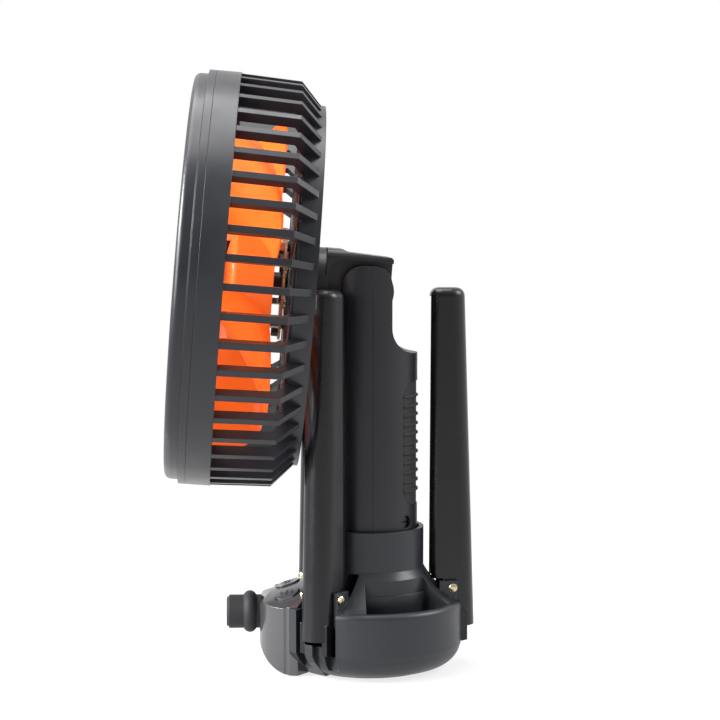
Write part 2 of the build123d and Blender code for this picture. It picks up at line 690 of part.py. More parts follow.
# ---- Column ------------------------------------------------------------------------------------------
def column_body():
    """Round column that steps in to two ears round the tilt knuckle."""
    top = PIVOT_Z + EAR_RISE
    rear = PIVOT_X + EAR_HALF
    front = PIVOT_X - EAR_HALF
    step_z = SHOULDER_Z + SHOULDER_R
    outline = (
        Polyline((-BIG, 0), (-BIG, SHOULDER_Z), (front - SHOULDER_R, SHOULDER_Z))
        + RadiusArc((front - SHOULDER_R, SHOULDER_Z), (front, step_z), -SHOULDER_R)
        + Line((front, step_z), (front, top - EAR_CORNER_R))
        + RadiusArc((front, top - EAR_CORNER_R), (front + EAR_CORNER_R, top), EAR_CORNER_R)
        + Line((front + EAR_CORNER_R, top), (rear - EAR_CORNER_R, top))
        + RadiusArc((rear - EAR_CORNER_R, top), (rear, top - EAR_CORNER_R), EAR_CORNER_R)
        + Line((rear, top - EAR_CORNER_R), (rear, step_z))
        + RadiusArc((rear, step_z), (rear + SHOULDER_R, SHOULDER_Z), -SHOULDER_R)
        + Polyline((rear + SHOULDER_R, SHOULDER_Z), (BIG, SHOULDER_Z), (BIG, 0), (-BIG, 0))
    )
    body = disc(COLUMN_R, COLUMN_FOOT, top) & plate(make_face(outline), COLUMN_R)
    floor = PIVOT_Z - KNUCKLE_R - FORK_FLOOR_GAP
    body -= block(-BIG, BIG, -FORK_HALF, FORK_HALF, floor, BIG)
    body -= disc(COLUMN_BORE_R, COLUMN_FOOT, SHOULDER_Z - WALL)
    return body - across(SHAFT_R + RUNNING_GAP, SHAFT_HALF + SEAT_GAP, PIVOT_X, PIVOT_Z)


def grip_window(inset):
    """Prism that bounds the grip on the column's rear."""
    height = GRIP_HIGH - GRIP_LOW - 2 * inset
    window = RectangleRounded(2 * (GRIP_HALF - inset), height, GRIP_CORNER_R)
    place = Plane(origin=(0, 0, (GRIP_LOW + GRIP_HIGH) / 2), x_dir=(0, 1, 0), z_dir=(1, 0, 0))
    return extrude(place * window, BIG)


def column_screw_places():
    """Radial frames of the two screws low on the column's rear."""
    return [
        Rot(0, 0, side * SCREW_AZIMUTH) * Pos(0, 0, SCREW_Z) * Rot(0, 90, 0)
        for side in (-1, 1)
    ]


def column_front_shell(body):
    """Front half of the column."""
    return body & block(-BIG, -SEAT_GAP / 2, -BIG, BIG, 0, BIG)


def column_rear_shell(body):
    """Rear half, with the grip recess and two screw bosses."""
    shell = body & block(SEAT_GAP / 2, BIG, -BIG, BIG, 0, BIG)
    recess = tube(COLUMN_R + BITE, COLUMN_R - GRIP_DEPTH, GRIP_LOW, GRIP_HIGH) & grip_window(0)
    shell -= recess
    for place in column_screw_places():
        shell += place * disc(BOSS_R, BOSS_START, COLUMN_R - BITE)
        shell -= place * disc(SCREW_HEAD_R + HEAD_CLEARANCE, COLUMN_R - SCREW_SINK, COLUMN_R + BITE)
        shell -= place * disc(SCREW_R + SEAT_GAP, BOSS_START - BITE, COLUMN_R)
    return shell


def grip_panel():
    """Ribbed rubber grip in the recess."""
    floor = COLUMN_R - GRIP_DEPTH + SEAT_GAP / 2
    skin = COLUMN_R - GRIP_SKIN_DROP
    tip = COLUMN_R + GRIP_PROUD
    low = (GRIP_LOW + GRIP_HIGH) / 2 - GRIP_RIB_PITCH * (GRIP_RIBS - 1) / 2
    points = [(floor, GRIP_LOW), (skin, GRIP_LOW)]
    for k in range(GRIP_RIBS):
        middle = low + k * GRIP_RIB_PITCH
        points += [
            (skin, middle - GRIP_RIB_H / 2),
            (tip, middle - GRIP_RIB_TIP_H / 2),
            (tip, middle + GRIP_RIB_TIP_H / 2),
            (skin, middle + GRIP_RIB_H / 2),
        ]
    points += [(skin, GRIP_HIGH), (floor, GRIP_HIGH)]
    return turned(*points) & grip_window(SEAT_GAP)


def battery_cells():
    """Three cells side by side in the column."""
    ring_r = (CELL_R + SEAT_GAP) * 2 / math.sqrt(3)
    cell = disc(CELL_R, CELL_LOW, CELL_LOW + CELL_LENGTH)
    cell = fillet(cell.edges().filter_by(GeomType.CIRCLE), CELL_EDGE_R)
    return Part() + ringed(Pos(ring_r, 0, 0) * cell, CELLS, CELL_START)


def battery_holder():
    """Round tray under the cells."""
    top = CELL_LOW - SEAT_GAP
    return tube(COLUMN_BORE_R - TRAY_GAP, TRAY_HOLE_R, top - TRAY_T, top)


def main_board():
    """Charging and motor control board below the cells."""
    high = CELL_LOW - MAIN_BOARD_DROP
    return block(-BOARD_T / 2, BOARD_T / 2, -MAIN_BOARD_W / 2, MAIN_BOARD_W / 2, high - MAIN_BOARD_H, high)


def column_screws():
    """Slotted screws in the two recesses low on the column."""
    seat = COLUMN_R - SCREW_SINK
    top = seat + SCREW_HEAD_H
    screw = disc(SCREW_HEAD_R, seat, top) + disc(SCREW_R, BOSS_START, seat)
    slot = Pos(0, 0, top) * Box(SCREW_SLOT_W, 2 * SCREW_HEAD_R, SCREW_SLOT_W * 2)
    return Part() + [place * (screw - slot) for place in column_screw_places()]


def tilt_shaft():
    """Steel cross pin of the tilt joint."""
    return across(SHAFT_R, SHAFT_HALF, PIVOT_X, PIVOT_Z)


def tilt_washers():
    """Two friction washers between knuckle and ears."""
    washer = tube(WASHER_R, SHAFT_R, 0, WASHER_T)
    washer = Rot(90, 0, 0) * washer
    middle = (KNUCKLE_HALF + FORK_HALF) / 2
    return Part() + [
        Pos(PIVOT_X, side * middle + WASHER_T / 2, PIVOT_Z) * washer for side in (-1, 1)
    ]


# ---- Base ----------------------------------------------------------------------------------------------
def sector(start, end, radius):
    """Flat wedge between two azimuths."""
    points = [(0, 0)]
    for k in range(5):
        angle = math.radians(start + (end - start) * k / 4)
        points.append((radius * math.cos(angle), radius * math.sin(angle)))
    return make_face(Polyline(*points, close=True))


def base_form():
    """Turned outer form: skirt, lobe wall, flare and collar."""
    rim_in = (BASE_R - BASE_RIM_R, BASE_TOP)
    rim_out = (BASE_R, BASE_TOP - BASE_RIM_R)
    skirt = (BASE_R - SKIRT_IN, SKIRT_LOW)
    inside = COLUMN_FOOT - SEAT_GAP
    outline = (
        Polyline((0, BASE_LOW), (BASE_FLAT_R, BASE_LOW))
        + ThreePointArc((BASE_FLAT_R, BASE_LOW), SKIRT_MID, skirt)
        + Polyline(skirt, (BASE_R, SKIRT_HIGH), rim_out)
        + RadiusArc(rim_out, rim_in, -BASE_RIM_R)
        + ThreePointArc(rim_in, FLARE_MID, (COLLAR_R, COLUMN_FOOT))
        + Polyline(
            (COLLAR_R, COLUMN_FOOT), (COLLAR_R, COLLAR_TOP), (COLLAR_BORE_R, COLLAR_TOP),
            (COLLAR_BORE_R, inside), (0, inside), (0, BASE_LOW),
        )
    )
    return revolve(Plane.XZ * make_face(outline), Axis.Z)


def leg_bay():
    """Everything the base gives up for one leg, in the frame of a leg at azimuth 0."""
    top = COLUMN_FOOT - SEAT_GAP
    reach = BASE_R + POD_REACH
    below = block(0, reach, -reach, reach, 0, top - BAY_ROOF)
    sides = across(CAM_CLEAR_R, SLOT_HALF, PIN_RHO, PIN_Z) & below
    sides += block(PIN_RHO, reach, -SLOT_HALF, SLOT_HALF, SLOT_FLOOR, BIG)
    sides += block(COLLAR_R + COLLAR_GAP, reach, -SLOT_HALF, SLOT_HALF, PIN_Z, BIG)
    rib = block(0, reach, -RIB_HALF, RIB_HALF, 0, PIN_Z)
    rib -= across(LEG_END_R + RIB_GAP, SLOT_HALF, PIN_RHO, PIN_Z)
    lug_outline = Polyline(
        (BAY_CORE, PIN_Z - LUG_END_R + LUG_SLOPE),
        (PIN_RHO, PIN_Z - LUG_END_R),
        (PIN_RHO, PIN_Z + LUG_END_R),
        (COLLAR_R + COLLAR_GAP, top + BITE),
        (BAY_CORE, top + BITE),
        close=True,
    )
    lug = plate(make_face(lug_outline), RIB_HALF)
    lug += across(LUG_END_R, RIB_HALF, PIN_RHO, PIN_Z)
    return (sides - rib) - lug + across(PIN_R + RUNNING_GAP, BIG, PIN_RHO, PIN_Z)


def hinge_cheeks():
    """Plates of the base either side of a leg, which carry its pin, at azimuth 0."""
    high = PIN_Z + CHEEK_RISE
    outer = PIN_RHO + CHEEK_END
    outline = Polyline(
        (CHEEK_RHO, CHEEK_LOW),
        (CHEEK_RHO, high),
        (outer, high),
        (outer, CHEEK_LOW),
        close=True,
    )
    slab = plate(make_face(outline), SLOT_HALF + SEAT_GAP)
    slab -= block(0, BIG, -LEG_HALF - MOVING_GAP, LEG_HALF + MOVING_GAP, 0, BIG)
    return slab - across(PIN_R + RUNNING_GAP, BIG, PIN_RHO, PIN_Z)


def scoop():
    """Open tray in the top of a side lobe, with a ledge in its back wall."""
    top = COLUMN_FOOT - WALL
    well = extrude(Pos(0, 0, SCOOP_FLOOR) * sector(SCOOP_START, SCOOP_SWEEP_END, 2 * BASE_R), BIG)
    well &= block(SCOOP_FRONT_X, BIG, -BIG, BIG, 0, BIG)
    tray = tube(SCOOP_OUTER_R, SCOOP_INNER_R + SCOOP_LEDGE, SCOOP_FLOOR, top)
    tray += tube(SCOOP_OUTER_R, SCOOP_INNER_R, SCOOP_LEDGE_Z, top)
    return well & tray


def pod_form(inset):
    """Crowned control pod; a positive inset gives the form of its cavity."""
    front = POD_FRONT + inset
    rise = math.tan(SLOPE)
    lift = inset / math.cos(SLOPE)
    ease = inset * POD_BROW_SHARE
    brow = (POD_BROW_X + ease, POD_BROW_Z + ease * rise - lift)
    brow_mid = (POD_FRONT + POD_BROW_MID[0] + ease, POD_BROW_MID[1] - ease)
    back = POD_BACK - inset
    low = POD_LOW + inset
    heel = (POD_FRONT + POD_HEEL, low)
    heel_mid = (POD_FRONT + POD_HEEL_MID[0] + ease, POD_HEEL_MID[1] + ease)
    chin = (front, POD_CHIN_Z)
    shoulder = (front, POD_SHOULDER_Z)
    back_top = (back, POD_BROW_Z + (back - POD_BROW_X) * rise - lift)
    outline = (
        Line((back, low), heel)
        + ThreePointArc(heel, heel_mid, chin)
        + Line(chin, shoulder)
        + ThreePointArc(shoulder, brow_mid, brow)
        + Polyline(brow, back_top, (back, low))
    )
    form = plate(make_face(outline), POD_HALF + WALL)
    plan = RectangleRounded(POD_LENGTH, 2 * (POD_HALF - inset), POD_CORNER_R - inset)
    form &= Pos(front + POD_LENGTH / 2, 0, 0) * extrude(plan, POD_LENGTH)
    form &= FACE * Pos(0, 0, -POD_CROWN_R) * Rot(0, 90, 0) * Cylinder(POD_CROWN_R - inset, BIG)
    for side in (-1, 1):
        form -= Rot(0, 0, side * LEG_AZIMUTH) * block(
            0, BIG, -side * BIG, side * (SLOT_HALF + WALL + inset), 0, BIG
        )
    return form


def pod_grooves():
    """Upright grooves where the pod meets the strips beside it."""
    place = Pos(POD_FRONT + GROOVE_BACK, 0, 0)
    return [place * Pos(0, side * GROOVE_Y, 0) * disc(GROOVE_R, 0, GROOVE_TOP) for side in (-1, 1)]


def pod_strips():
    """Upright strips of the base either side of the pod."""
    wedge = extrude(sector(LEG_AZIMUTH, 360 - LEG_AZIMUTH, 2 * BASE_R), BIG)
    strips = turned(
        (POD_STRIP_CORE_R, BASE_LOW), (BASE_FLAT_R + POD_STRIP_FLAT, BASE_LOW),
        (POD_STRIP_R - WALL, SKIRT_LOW), (POD_STRIP_R, SKIRT_HIGH),
        (POD_STRIP_R, BASE_TOP), (POD_STRIP_CORE_R, BASE_TOP),
    )
    return strips & wedge


def base_housing():
    """Base moulding with three leg bays, two scoops and the seat of the pod."""
    housing = base_form() + pod_strips()
    housing -= [Rot(0, 0, angle) * leg_bay() for angle in LEG_ANGLES.values()]
    housing -= [scoop(), mirror(scoop(), Plane.XZ)]
    housing -= pod_form(-SEAT_GAP)
    housing -= pod_grooves()
    housing += [Rot(0, 0, angle) * hinge_cheeks() for angle in LEG_ANGLES.values()]
    housing -= disc(COVER_R + SEAT_GAP, 0, BASE_LOW + COVER_T + SEAT_GAP)
    tapped = Pos(BASE_SCREW_PCR, 0, 0) * disc(SCREW_R, 0, BASE_SCREW_TOP + SEAT_GAP)
    return housing - ringed(tapped, BASE_SCREWS, BASE_SCREW_START)


def base_cover():
    """Bottom cover, flush with the housing."""
    cover = disc(COVER_R, BASE_LOW, BASE_LOW + COVER_T)
    hole = disc(SCREW_R + SEAT_GAP, BASE_LOW, BASE_LOW + COVER_T)
    hole += disc(SCREW_HEAD_R + HEAD_CLEARANCE, BASE_LOW, BASE_LOW + COVER_T / 2 + COVER_SINK)
    cover -= ringed(Pos(BASE_SCREW_PCR, 0, 0) * hole, BASE_SCREWS, BASE_SCREW_START)
    return cover - pod_form(-SEAT_GAP)


def base_screws():
    """Screws of the bottom cover."""
    seat = BASE_LOW + COVER_T / 2 + COVER_SINK
    screw = disc(SCREW_HEAD_R, BASE_LOW + SEAT_GAP, seat) + disc(SCREW_R, seat, BASE_SCREW_TOP)
    return Part() + ringed(Pos(BASE_SCREW_PCR, 0, 0) * screw, BASE_SCREWS, BASE_SCREW_START)


def rubber_foot():
    """Rubber pad under the cover; its underside is the table plane."""
    return disc(FOOT_R, 0, BASE_LOW)


# ---- Control pod ----------------------------------------------------------------------------------------
def crowned(proud):
    """Cylinder whose surface is the crowned control face, raised by a height."""
    return FACE * Pos(0, 0, -POD_CROWN_R) * Rot(0, 90, 0) * Cylinder(POD_CROWN_R + proud, BIG)


def button_prism(name, grow, low, high):
    """Oval prism of a button, along the normal of the control face."""
    offset, along = BUTTONS[name]
    oval = SlotOverall(BUTTON_LENGTH + 2 * grow, BUTTON_WIDTH + 2 * grow)
    return FACE * Pos(along, offset, low) * extrude(oval, high - low)


def button(name):
    """Oval push button with a crowned top."""
    return button_prism(name, 0, -BUTTON_DEPTH, BUTTON_LENGTH) & crowned(BUTTON_PROUD)


def control_pod():
    """Pod shell with a bush for the knob and an opening for each button."""
    pod = pod_form(0) - pod_form(WALL)
    bush = KNOB_AXIS * disc(KNOB_NECK_R, BUSH_START, BUSH_END)
    pod += bush & pod_form(SEAT_GAP)
    pod -= KNOB_AXIS * disc(KNOB_NECK_R + MOVING_GAP, -KNOB_LENGTH, KNOB_SINK + MOVING_GAP)
    pod -= KNOB_AXIS * disc(KNOB_SHAFT_R + RUNNING_GAP, -BITE, BUSH_END + BITE)
    pod -= [button_prism(name, MOVING_GAP, BUTTON_FLOOR, BUTTON_LENGTH) for name in BUTTONS]
    return pod - pod_grooves()


def control_board():
    """Board under the buttons, parallel to the control face."""
    return FACE * block(
        CONTROL_BOARD_LOW, CONTROL_BOARD_LOW + CONTROL_BOARD_LENGTH,
        -CONTROL_BOARD_HALF, CONTROL_BOARD_HALF, SWITCH_BASE - BOARD_T, SWITCH_BASE,
    )


def tact_switches():
    """A small switch on the control board under each button."""
    half = SWITCH_SIDE / 2
    switch = block(-half, half, -half, half, 0, SWITCH_H)
    switch += disc(PLUNGER_R, SWITCH_H, SWITCH_H + PLUNGER_H)
    places = [FACE * Pos(along, offset, SWITCH_BASE) for offset, along in BUTTONS.values()]
    return Part() + [place * switch for place in places]


def speed_control():
    """Rotary control behind the knob."""
    body = Pos(0, 0, BUSH_END + SEAT_GAP) * Box(CONTROL_SIDE, CONTROL_SIDE, CONTROL_T, align=LOW)
    return KNOB_AXIS * (body - disc(KNOB_SHAFT_R + RUNNING_GAP, 0, BUSH_END + CONTROL_T))


def knob_shaft():
    """Shaft from the knob into the rotary control."""
    return KNOB_AXIS * disc(KNOB_SHAFT_R, -KNOB_SHAFT_OUT, BUSH_END + CONTROL_T / 2)


def speed_knob():
    """Rubber covered knob: neck, bulge and a plain barrel."""
    start, crest, end = KNOB_BULGE
    tip = KNOB_SINK - KNOB_LENGTH
    outline = (
        Polyline((0, KNOB_SINK), (KNOB_NECK_R, KNOB_SINK), (KNOB_NECK_R, -start))
        + ThreePointArc((KNOB_NECK_R, -start), (KNOB_BULGE_R, -crest), (KNOB_NECK_R, -end))
        + Line((KNOB_NECK_R, -end), (KNOB_NECK_R, tip + KNOB_EDGE_R))
        + RadiusArc((KNOB_NECK_R, tip + KNOB_EDGE_R), (KNOB_NECK_R - KNOB_EDGE_R, tip), -KNOB_EDGE_R)
        + Polyline((KNOB_NECK_R - KNOB_EDGE_R, tip), (0, tip), (0, KNOB_SINK))
    )
    knob = revolve(Plane.XZ * make_face(outline), Axis.Z)
    return KNOB_AXIS * (knob - disc(KNOB_SHAFT_R, -KNOB_SHAFT_OUT - SEAT_GAP, BITE + KNOB_SINK))


# ---- Legs ---------------------------------------------------------------------------------------------------
def leg_section(inner, outer, half, corner, height):
    """Section rounded outwards like a D, with rounded inner corners."""
    start = (outer - half, -half)
    end = (outer - half, half)
    low = (inner + corner, -half)
    high = (inner + corner, half)
    outline = (
        Line(start, low)
        + RadiusArc(low, (inner, corner - half), corner)
        + Line((inner, corner - half), (inner, half - corner))
        + RadiusArc((inner, half - corner), high, corner)
        + Line(high, end)
        + ThreePointArc(end, (outer, 0), start)
    )
    return Pos(0, 0, height) * make_face(outline)


def leg_edge(low_value, top_value, height):
    """Distance from the column axis of a straight edge of the leg at a height."""
    return low_value + (top_value - low_value) * (height - LEG_LOW) / (LEG_TOP - LEG_LOW)


def leg():
    """Open channel leg with pin holes and cam lobes, at azimuth 0."""
    body = loft([
        leg_section(LEG_INNER_LOW, LEG_OUTER_LOW, LEG_HALF, LEG_INNER_CORNER_R, LEG_LOW),
        leg_section(LEG_INNER_TOP, LEG_OUTER_TOP, LEG_HALF, LEG_INNER_CORNER_R, LEG_TOP),
    ])
    rim = body.faces().sort_by(Axis.Z)[-1].edges()
    body = fillet(rim, LEG_TIP_R)
    hollow_half = LEG_HALF - LEG_WALL
    body -= loft([
        leg_section(0, leg_edge(LEG_OUTER_LOW, LEG_OUTER_TOP, z) - LEG_WALL, hollow_half, LEG_WALL, z)
        for z in (0, LEG_TOP - LEG_TIP_R)
    ])
    cam = across(CAM_R, LEG_HALF, PIN_RHO, PIN_Z)
    cam &= block(PIN_RHO - BITE, CAM_RHO, -LEG_HALF, LEG_HALF, 0, CAM_TOP)
    body += cam - block(0, BIG, -CAM_INNER_HALF, CAM_INNER_HALF, 0, BIG)
    body -= block(0, LEG_NOTCH_RHO, -BIG, BIG, 0, LEG_NOTCH_Z)
    return body - across(PIN_R + RUNNING_GAP, BIG, PIN_RHO, PIN_Z)


def leg_pin():
    """Hinge pin through the leg and both cheeks, with a flat head at each end, at azimuth 0."""
    face = SLOT_HALF + 2 * SEAT_GAP
    shank = across(PIN_R, face, PIN_RHO, PIN_Z)
    heads = across(PIN_HEAD_R, face + PIN_HEAD_H, PIN_RHO, PIN_Z) - across(PIN_HEAD_R, face, PIN_RHO, PIN_Z)
    return shank + heads


# ---- Write every node -----------------------------------------------------------------------------------------
HEAD_NODES = {
    "front_bezel": front_bezel(),
    "front_grille": front_grille(),
    "front_hub_cap": front_hub_cap(),
    "rear_cage": rear_cage(),
    "rear_guard": rear_guard(),
    "fan_blade": fan_blade(),
    "blade_screws": blade_screws(),
    "blade_cap": blade_cap(),
    "rotor_cup": rotor_cup(),
    "rotor_magnet": rotor_magnet(),
    "motor_shaft": motor_shaft(),
    "motor_stator": motor_stator(),
    "front_bearing": bearing(BEARING_FRONT),
    "rear_bearing": bearing(BEARING_BACK),
    "motor_mount": motor_mount(),
    "motor_board": motor_board(),
    "motor_screws": motor_screws(),
    "neck_yoke": neck_yoke(),
    "neck_screws": neck_screws(),
}
for name, shape in HEAD_NODES.items():
    save(name, HEAD * shape)

COLUMN = column_body()
STAND_NODES = {
    "column_front_shell": column_front_shell(COLUMN),
    "column_rear_shell": column_rear_shell(COLUMN),
    "grip_panel": grip_panel(),
    "battery_cells": battery_cells(),
    "battery_holder": battery_holder(),
    "main_board": main_board(),
    "column_screws": column_screws(),
    "tilt_shaft": tilt_shaft(),
    "tilt_washers": tilt_washers(),
    "base_housing": base_housing(),
    "base_cover": base_cover(),
    "base_screws": base_screws(),
    "rubber_foot": rubber_foot(),
    "control_pod": control_pod(),
    "control_board": control_board(),
    "tact_switches": tact_switches(),
    "speed_control": speed_control(),
    "knob_shaft": knob_shaft(),
    "speed_knob": speed_knob(),
}
STAND_NODES.update({name: button(name) for name in BUTTONS})
for name, shape in STAND_NODES.items():
    save(name, shape)

for name, angle in LEG_ANGLES.items():
    save(f"{name}_leg", Rot(0, 0, angle) * leg())
    save(f"{name}_leg_pin", Rot(0, 0, angle) * leg_pin())
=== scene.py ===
import json
import logging
import math
from dataclasses import dataclass, field
from enum import Enum
from typing import Any

import bmesh
import bpy
from mathutils import Matrix, Vector
from mathutils.bvhtree import BVHTree


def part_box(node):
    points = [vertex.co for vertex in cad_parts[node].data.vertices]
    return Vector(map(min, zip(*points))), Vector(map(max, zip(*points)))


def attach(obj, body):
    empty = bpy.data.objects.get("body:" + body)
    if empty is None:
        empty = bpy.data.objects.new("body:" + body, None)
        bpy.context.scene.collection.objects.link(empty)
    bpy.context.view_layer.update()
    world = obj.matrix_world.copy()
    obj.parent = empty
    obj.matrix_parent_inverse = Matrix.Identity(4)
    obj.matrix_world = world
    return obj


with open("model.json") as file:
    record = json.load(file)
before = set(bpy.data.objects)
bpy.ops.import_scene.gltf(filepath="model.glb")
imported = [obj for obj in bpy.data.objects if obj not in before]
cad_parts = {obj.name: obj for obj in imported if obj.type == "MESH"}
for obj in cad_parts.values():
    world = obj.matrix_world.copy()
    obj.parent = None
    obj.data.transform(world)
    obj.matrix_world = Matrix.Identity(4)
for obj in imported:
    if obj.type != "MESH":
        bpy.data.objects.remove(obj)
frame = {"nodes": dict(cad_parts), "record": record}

# Looks of a portable camping fan: a slatted head on a tilting yoke, a battery column and
# a base with three folded legs. Metres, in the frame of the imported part: the column's
# axis at the table is the origin, -X is where the fan blows, +Z is up.

LOG = logging.getLogger("camping_fan")
MM = 0.001
BEVEL_SAMPLES = 6
MIX_A, MIX_B, MIX_RESULT = 6, 7, 2  # the colour sockets of a mix node
SHARP_ANGLE = 35.0  # degrees
WELD_MM = 0.001
UP = Vector((0.0, 0.0, 1.0))
WHITE = (1.0, 1.0, 1.0, 1.0)


class Body(str, Enum):
    """The moving bodies that carry pieces of the scene."""

    HEAD = "head"
    REAR_LEG = "rear_leg"
    NEAR_LEG = "near_leg"
    FAR_LEG = "far_leg"
    NEAR_BUTTON = "near_button"
    MIDDLE_BUTTON = "middle_button"
    FAR_BUTTON = "far_button"


# ---- Small tools ---------------------------------------------------------------------------
def linear(code: str) -> tuple[float, float, float, float]:
    """Turn an sRGB hex colour into a linear RGBA colour.

    Args:
        code: Six hex digits with a leading hash.

    Returns:
        Linear red, green and blue, and an alpha of 1.
    """
    channels = [int(code[i:i + 2], 16) / 255 for i in (1, 3, 5)]
    values = [c / 12.92 if c <= 0.04045 else ((c + 0.055) / 1.055) ** 2.4 for c in channels]
    return (values[0], values[1], values[2], 1.0)


def add(tree: bpy.types.NodeTree, kind: str, inputs: dict[str | int, Any] | None = None,
        **settings: Any) -> bpy.types.Node:
    """Add a shader node with its settings and links.

    Args:
        tree: The node tree to add to.
        kind: The node's type name, without its ShaderNode prefix.
        inputs: Values or source sockets by input name or number.
        settings: Attributes of the node.

    Returns:
        The new node.
    """
    node = tree.nodes.new("ShaderNode" + kind)
    for name, value in settings.items():
        setattr(node, name, value)
    for key, value in (inputs or {}).items():
        if isinstance(value, bpy.types.NodeSocket):
            tree.links.new(value, node.inputs[key])
        else:
            node.inputs[key].default_value = value
    return node


def new_material(name: str) -> tuple[bpy.types.Material, bpy.types.NodeTree]:
    """Make an empty node material.

    Args:
        name: The finish's name.

    Returns:
        The material and its cleared node tree.
    """
    material = bpy.data.materials.new(name)
    material.use_nodes = True
    material.node_tree.nodes.clear()
    return material, material.node_tree


def per_mm(pitch: float) -> float:
    """Noise scale that gives features about pitch millimetres apart."""
    return 1.0 / (pitch * MM)


def scaled(colour: tuple[float, ...], factor: float) -> tuple[float, ...]:
    """Multiply a linear colour by a factor, up to white, with an alpha of 1."""
    return tuple(min(1.0, channel * factor) for channel in colour[:3]) + (1.0,)


# ---- Finishes ------------------------------------------------------------------------------
@dataclass(frozen=True)
class MouldedPlastic:
    """ABS, nylon or epoxy moulded in a spark-eroded tool.

    The eye sees an even dark colour, a broad dull sheen broken by a fine grain, slow
    changes of gloss where hands have been, and soft bright lines along rounded edges.
    The real grain is under 0.1 mm, and is drawn coarser so that it shows.
    """

    name: str
    colour: str
    roughness: float = 0.42
    roughness_spread: float = 0.08
    grain_mm: float = 0.35
    grain_height_mm: float = 0.012
    edge_mm: float = 0.35
    ior: float = 1.53
    specular: float = 0.42
    mottle: float = 0.10
    smudge_mm: float = 28.0
    smudge_range: tuple[float, float] = (0.3, 0.7)

    def make(self) -> bpy.types.Material:
        """Build the node material.

        Returns:
            The material.
        """
        material, tree = new_material(self.name)
        place = add(tree, "TexCoord").outputs["Object"]
        grain = add(tree, "TexNoise", {"Vector": place, "Scale": per_mm(self.grain_mm), "Detail": 2.0})
        smudge = add(tree, "TexNoise", {"Vector": place, "Scale": per_mm(self.smudge_mm), "Detail": 3.0,
                                       "Roughness": 0.6})
        gloss = add(tree, "MapRange", {
            "Value": smudge.outputs["Fac"],
            "From Min": self.smudge_range[0], "From Max": self.smudge_range[1],
            "To Min": self.roughness - self.roughness_spread,
            "To Max": self.roughness + self.roughness_spread,
        })
        base = linear(self.colour)
        tint = add(tree, "Mix", {
            "Factor": smudge.outputs["Fac"],
            MIX_A: scaled(base, 1 - self.mottle),
            MIX_B: scaled(base, 1 + self.mottle),
        }, data_type="RGBA")
        edge = add(tree, "Bevel", {"Radius": self.edge_mm * MM}, samples=BEVEL_SAMPLES)
        bump = add(tree, "Bump", {
            "Height": grain.outputs["Fac"], "Distance": self.grain_height_mm * MM,
            "Normal": edge.outputs["Normal"],
        })
        shader = add(tree, "BsdfPrincipled", {
            "Base Color": tint.outputs[MIX_RESULT], "Roughness": gloss.outputs["Result"],
            "Specular IOR Level": self.specular, "IOR": self.ior, "Normal": bump.outputs["Normal"],
        })
        add(tree, "OutputMaterial", {"Surface": shader.outputs["BSDF"]})
        return material


@dataclass(frozen=True)
class GlossPlastic:
    """Polypropylene or nylon from a polished tool, or a shrunk sleeve.

    The eye sees a strong colour with a clear soft sheen and faint flow marks, and light
    through a thin wall. The glow is the share of light that passes through. The painted
    glow is emission in the plastic's own tint: painted light that makes the wall shine as
    if brightly lit, though it is no lamp.
    """

    name: str
    colour: str
    roughness: float = 0.28
    ior: float = 1.49
    glow: float = 0.12
    # emission strength: painted glow, light painted into the plastic rather than cast by a lamp
    painted_glow: float = 0.0
    flow_mm: float = 6.0
    flow_height_mm: float = 0.03
    flow_strength: float = 0.6
    gloss_spread: tuple[float, float] = (-0.06, 0.1)
    tint_spread: tuple[float, float] = (0.93, 1.05)

    def make(self) -> bpy.types.Material:
        """Build the node material.

        Returns:
            The material.
        """
        material, tree = new_material(self.name)
        place = add(tree, "TexCoord").outputs["Object"]
        flow = add(tree, "TexNoise", {"Vector": place, "Scale": per_mm(self.flow_mm), "Detail": 4.0})
        gloss = add(tree, "MapRange", {
            "Value": flow.outputs["Fac"],
            "To Min": self.roughness + self.gloss_spread[0], "To Max": self.roughness + self.gloss_spread[1],
        })
        bump = add(tree, "Bump", {
            "Height": flow.outputs["Fac"], "Distance": self.flow_height_mm * MM,
            "Strength": self.flow_strength,
        })
        base = linear(self.colour)
        tint = add(tree, "Mix", {
            "Factor": flow.outputs["Fac"],
            MIX_A: scaled(base, self.tint_spread[0]),
            MIX_B: scaled(base, self.tint_spread[1]),
        }, data_type="RGBA")
        shader = add(tree, "BsdfPrincipled", {
            "Base Color": tint.outputs[MIX_RESULT], "Roughness": gloss.outputs["Result"], "IOR": self.ior,
            # painted glow: emission makes the plastic shine in its own tint as if lit
            "Emission Color": tint.outputs[MIX_RESULT], "Emission Strength": self.painted_glow,
            "Normal": bump.outputs["Normal"],
        })
        through = add(tree, "BsdfTranslucent", {
            "Color": tint.outputs[MIX_RESULT], "Normal": bump.outputs["Normal"],
        })
        both = add(tree, "MixShader", {0: self.glow, 1: shader.outputs["BSDF"], 2: through.outputs["BSDF"]})
        add(tree, "OutputMaterial", {"Surface": both.outputs["Shader"]})
        return material


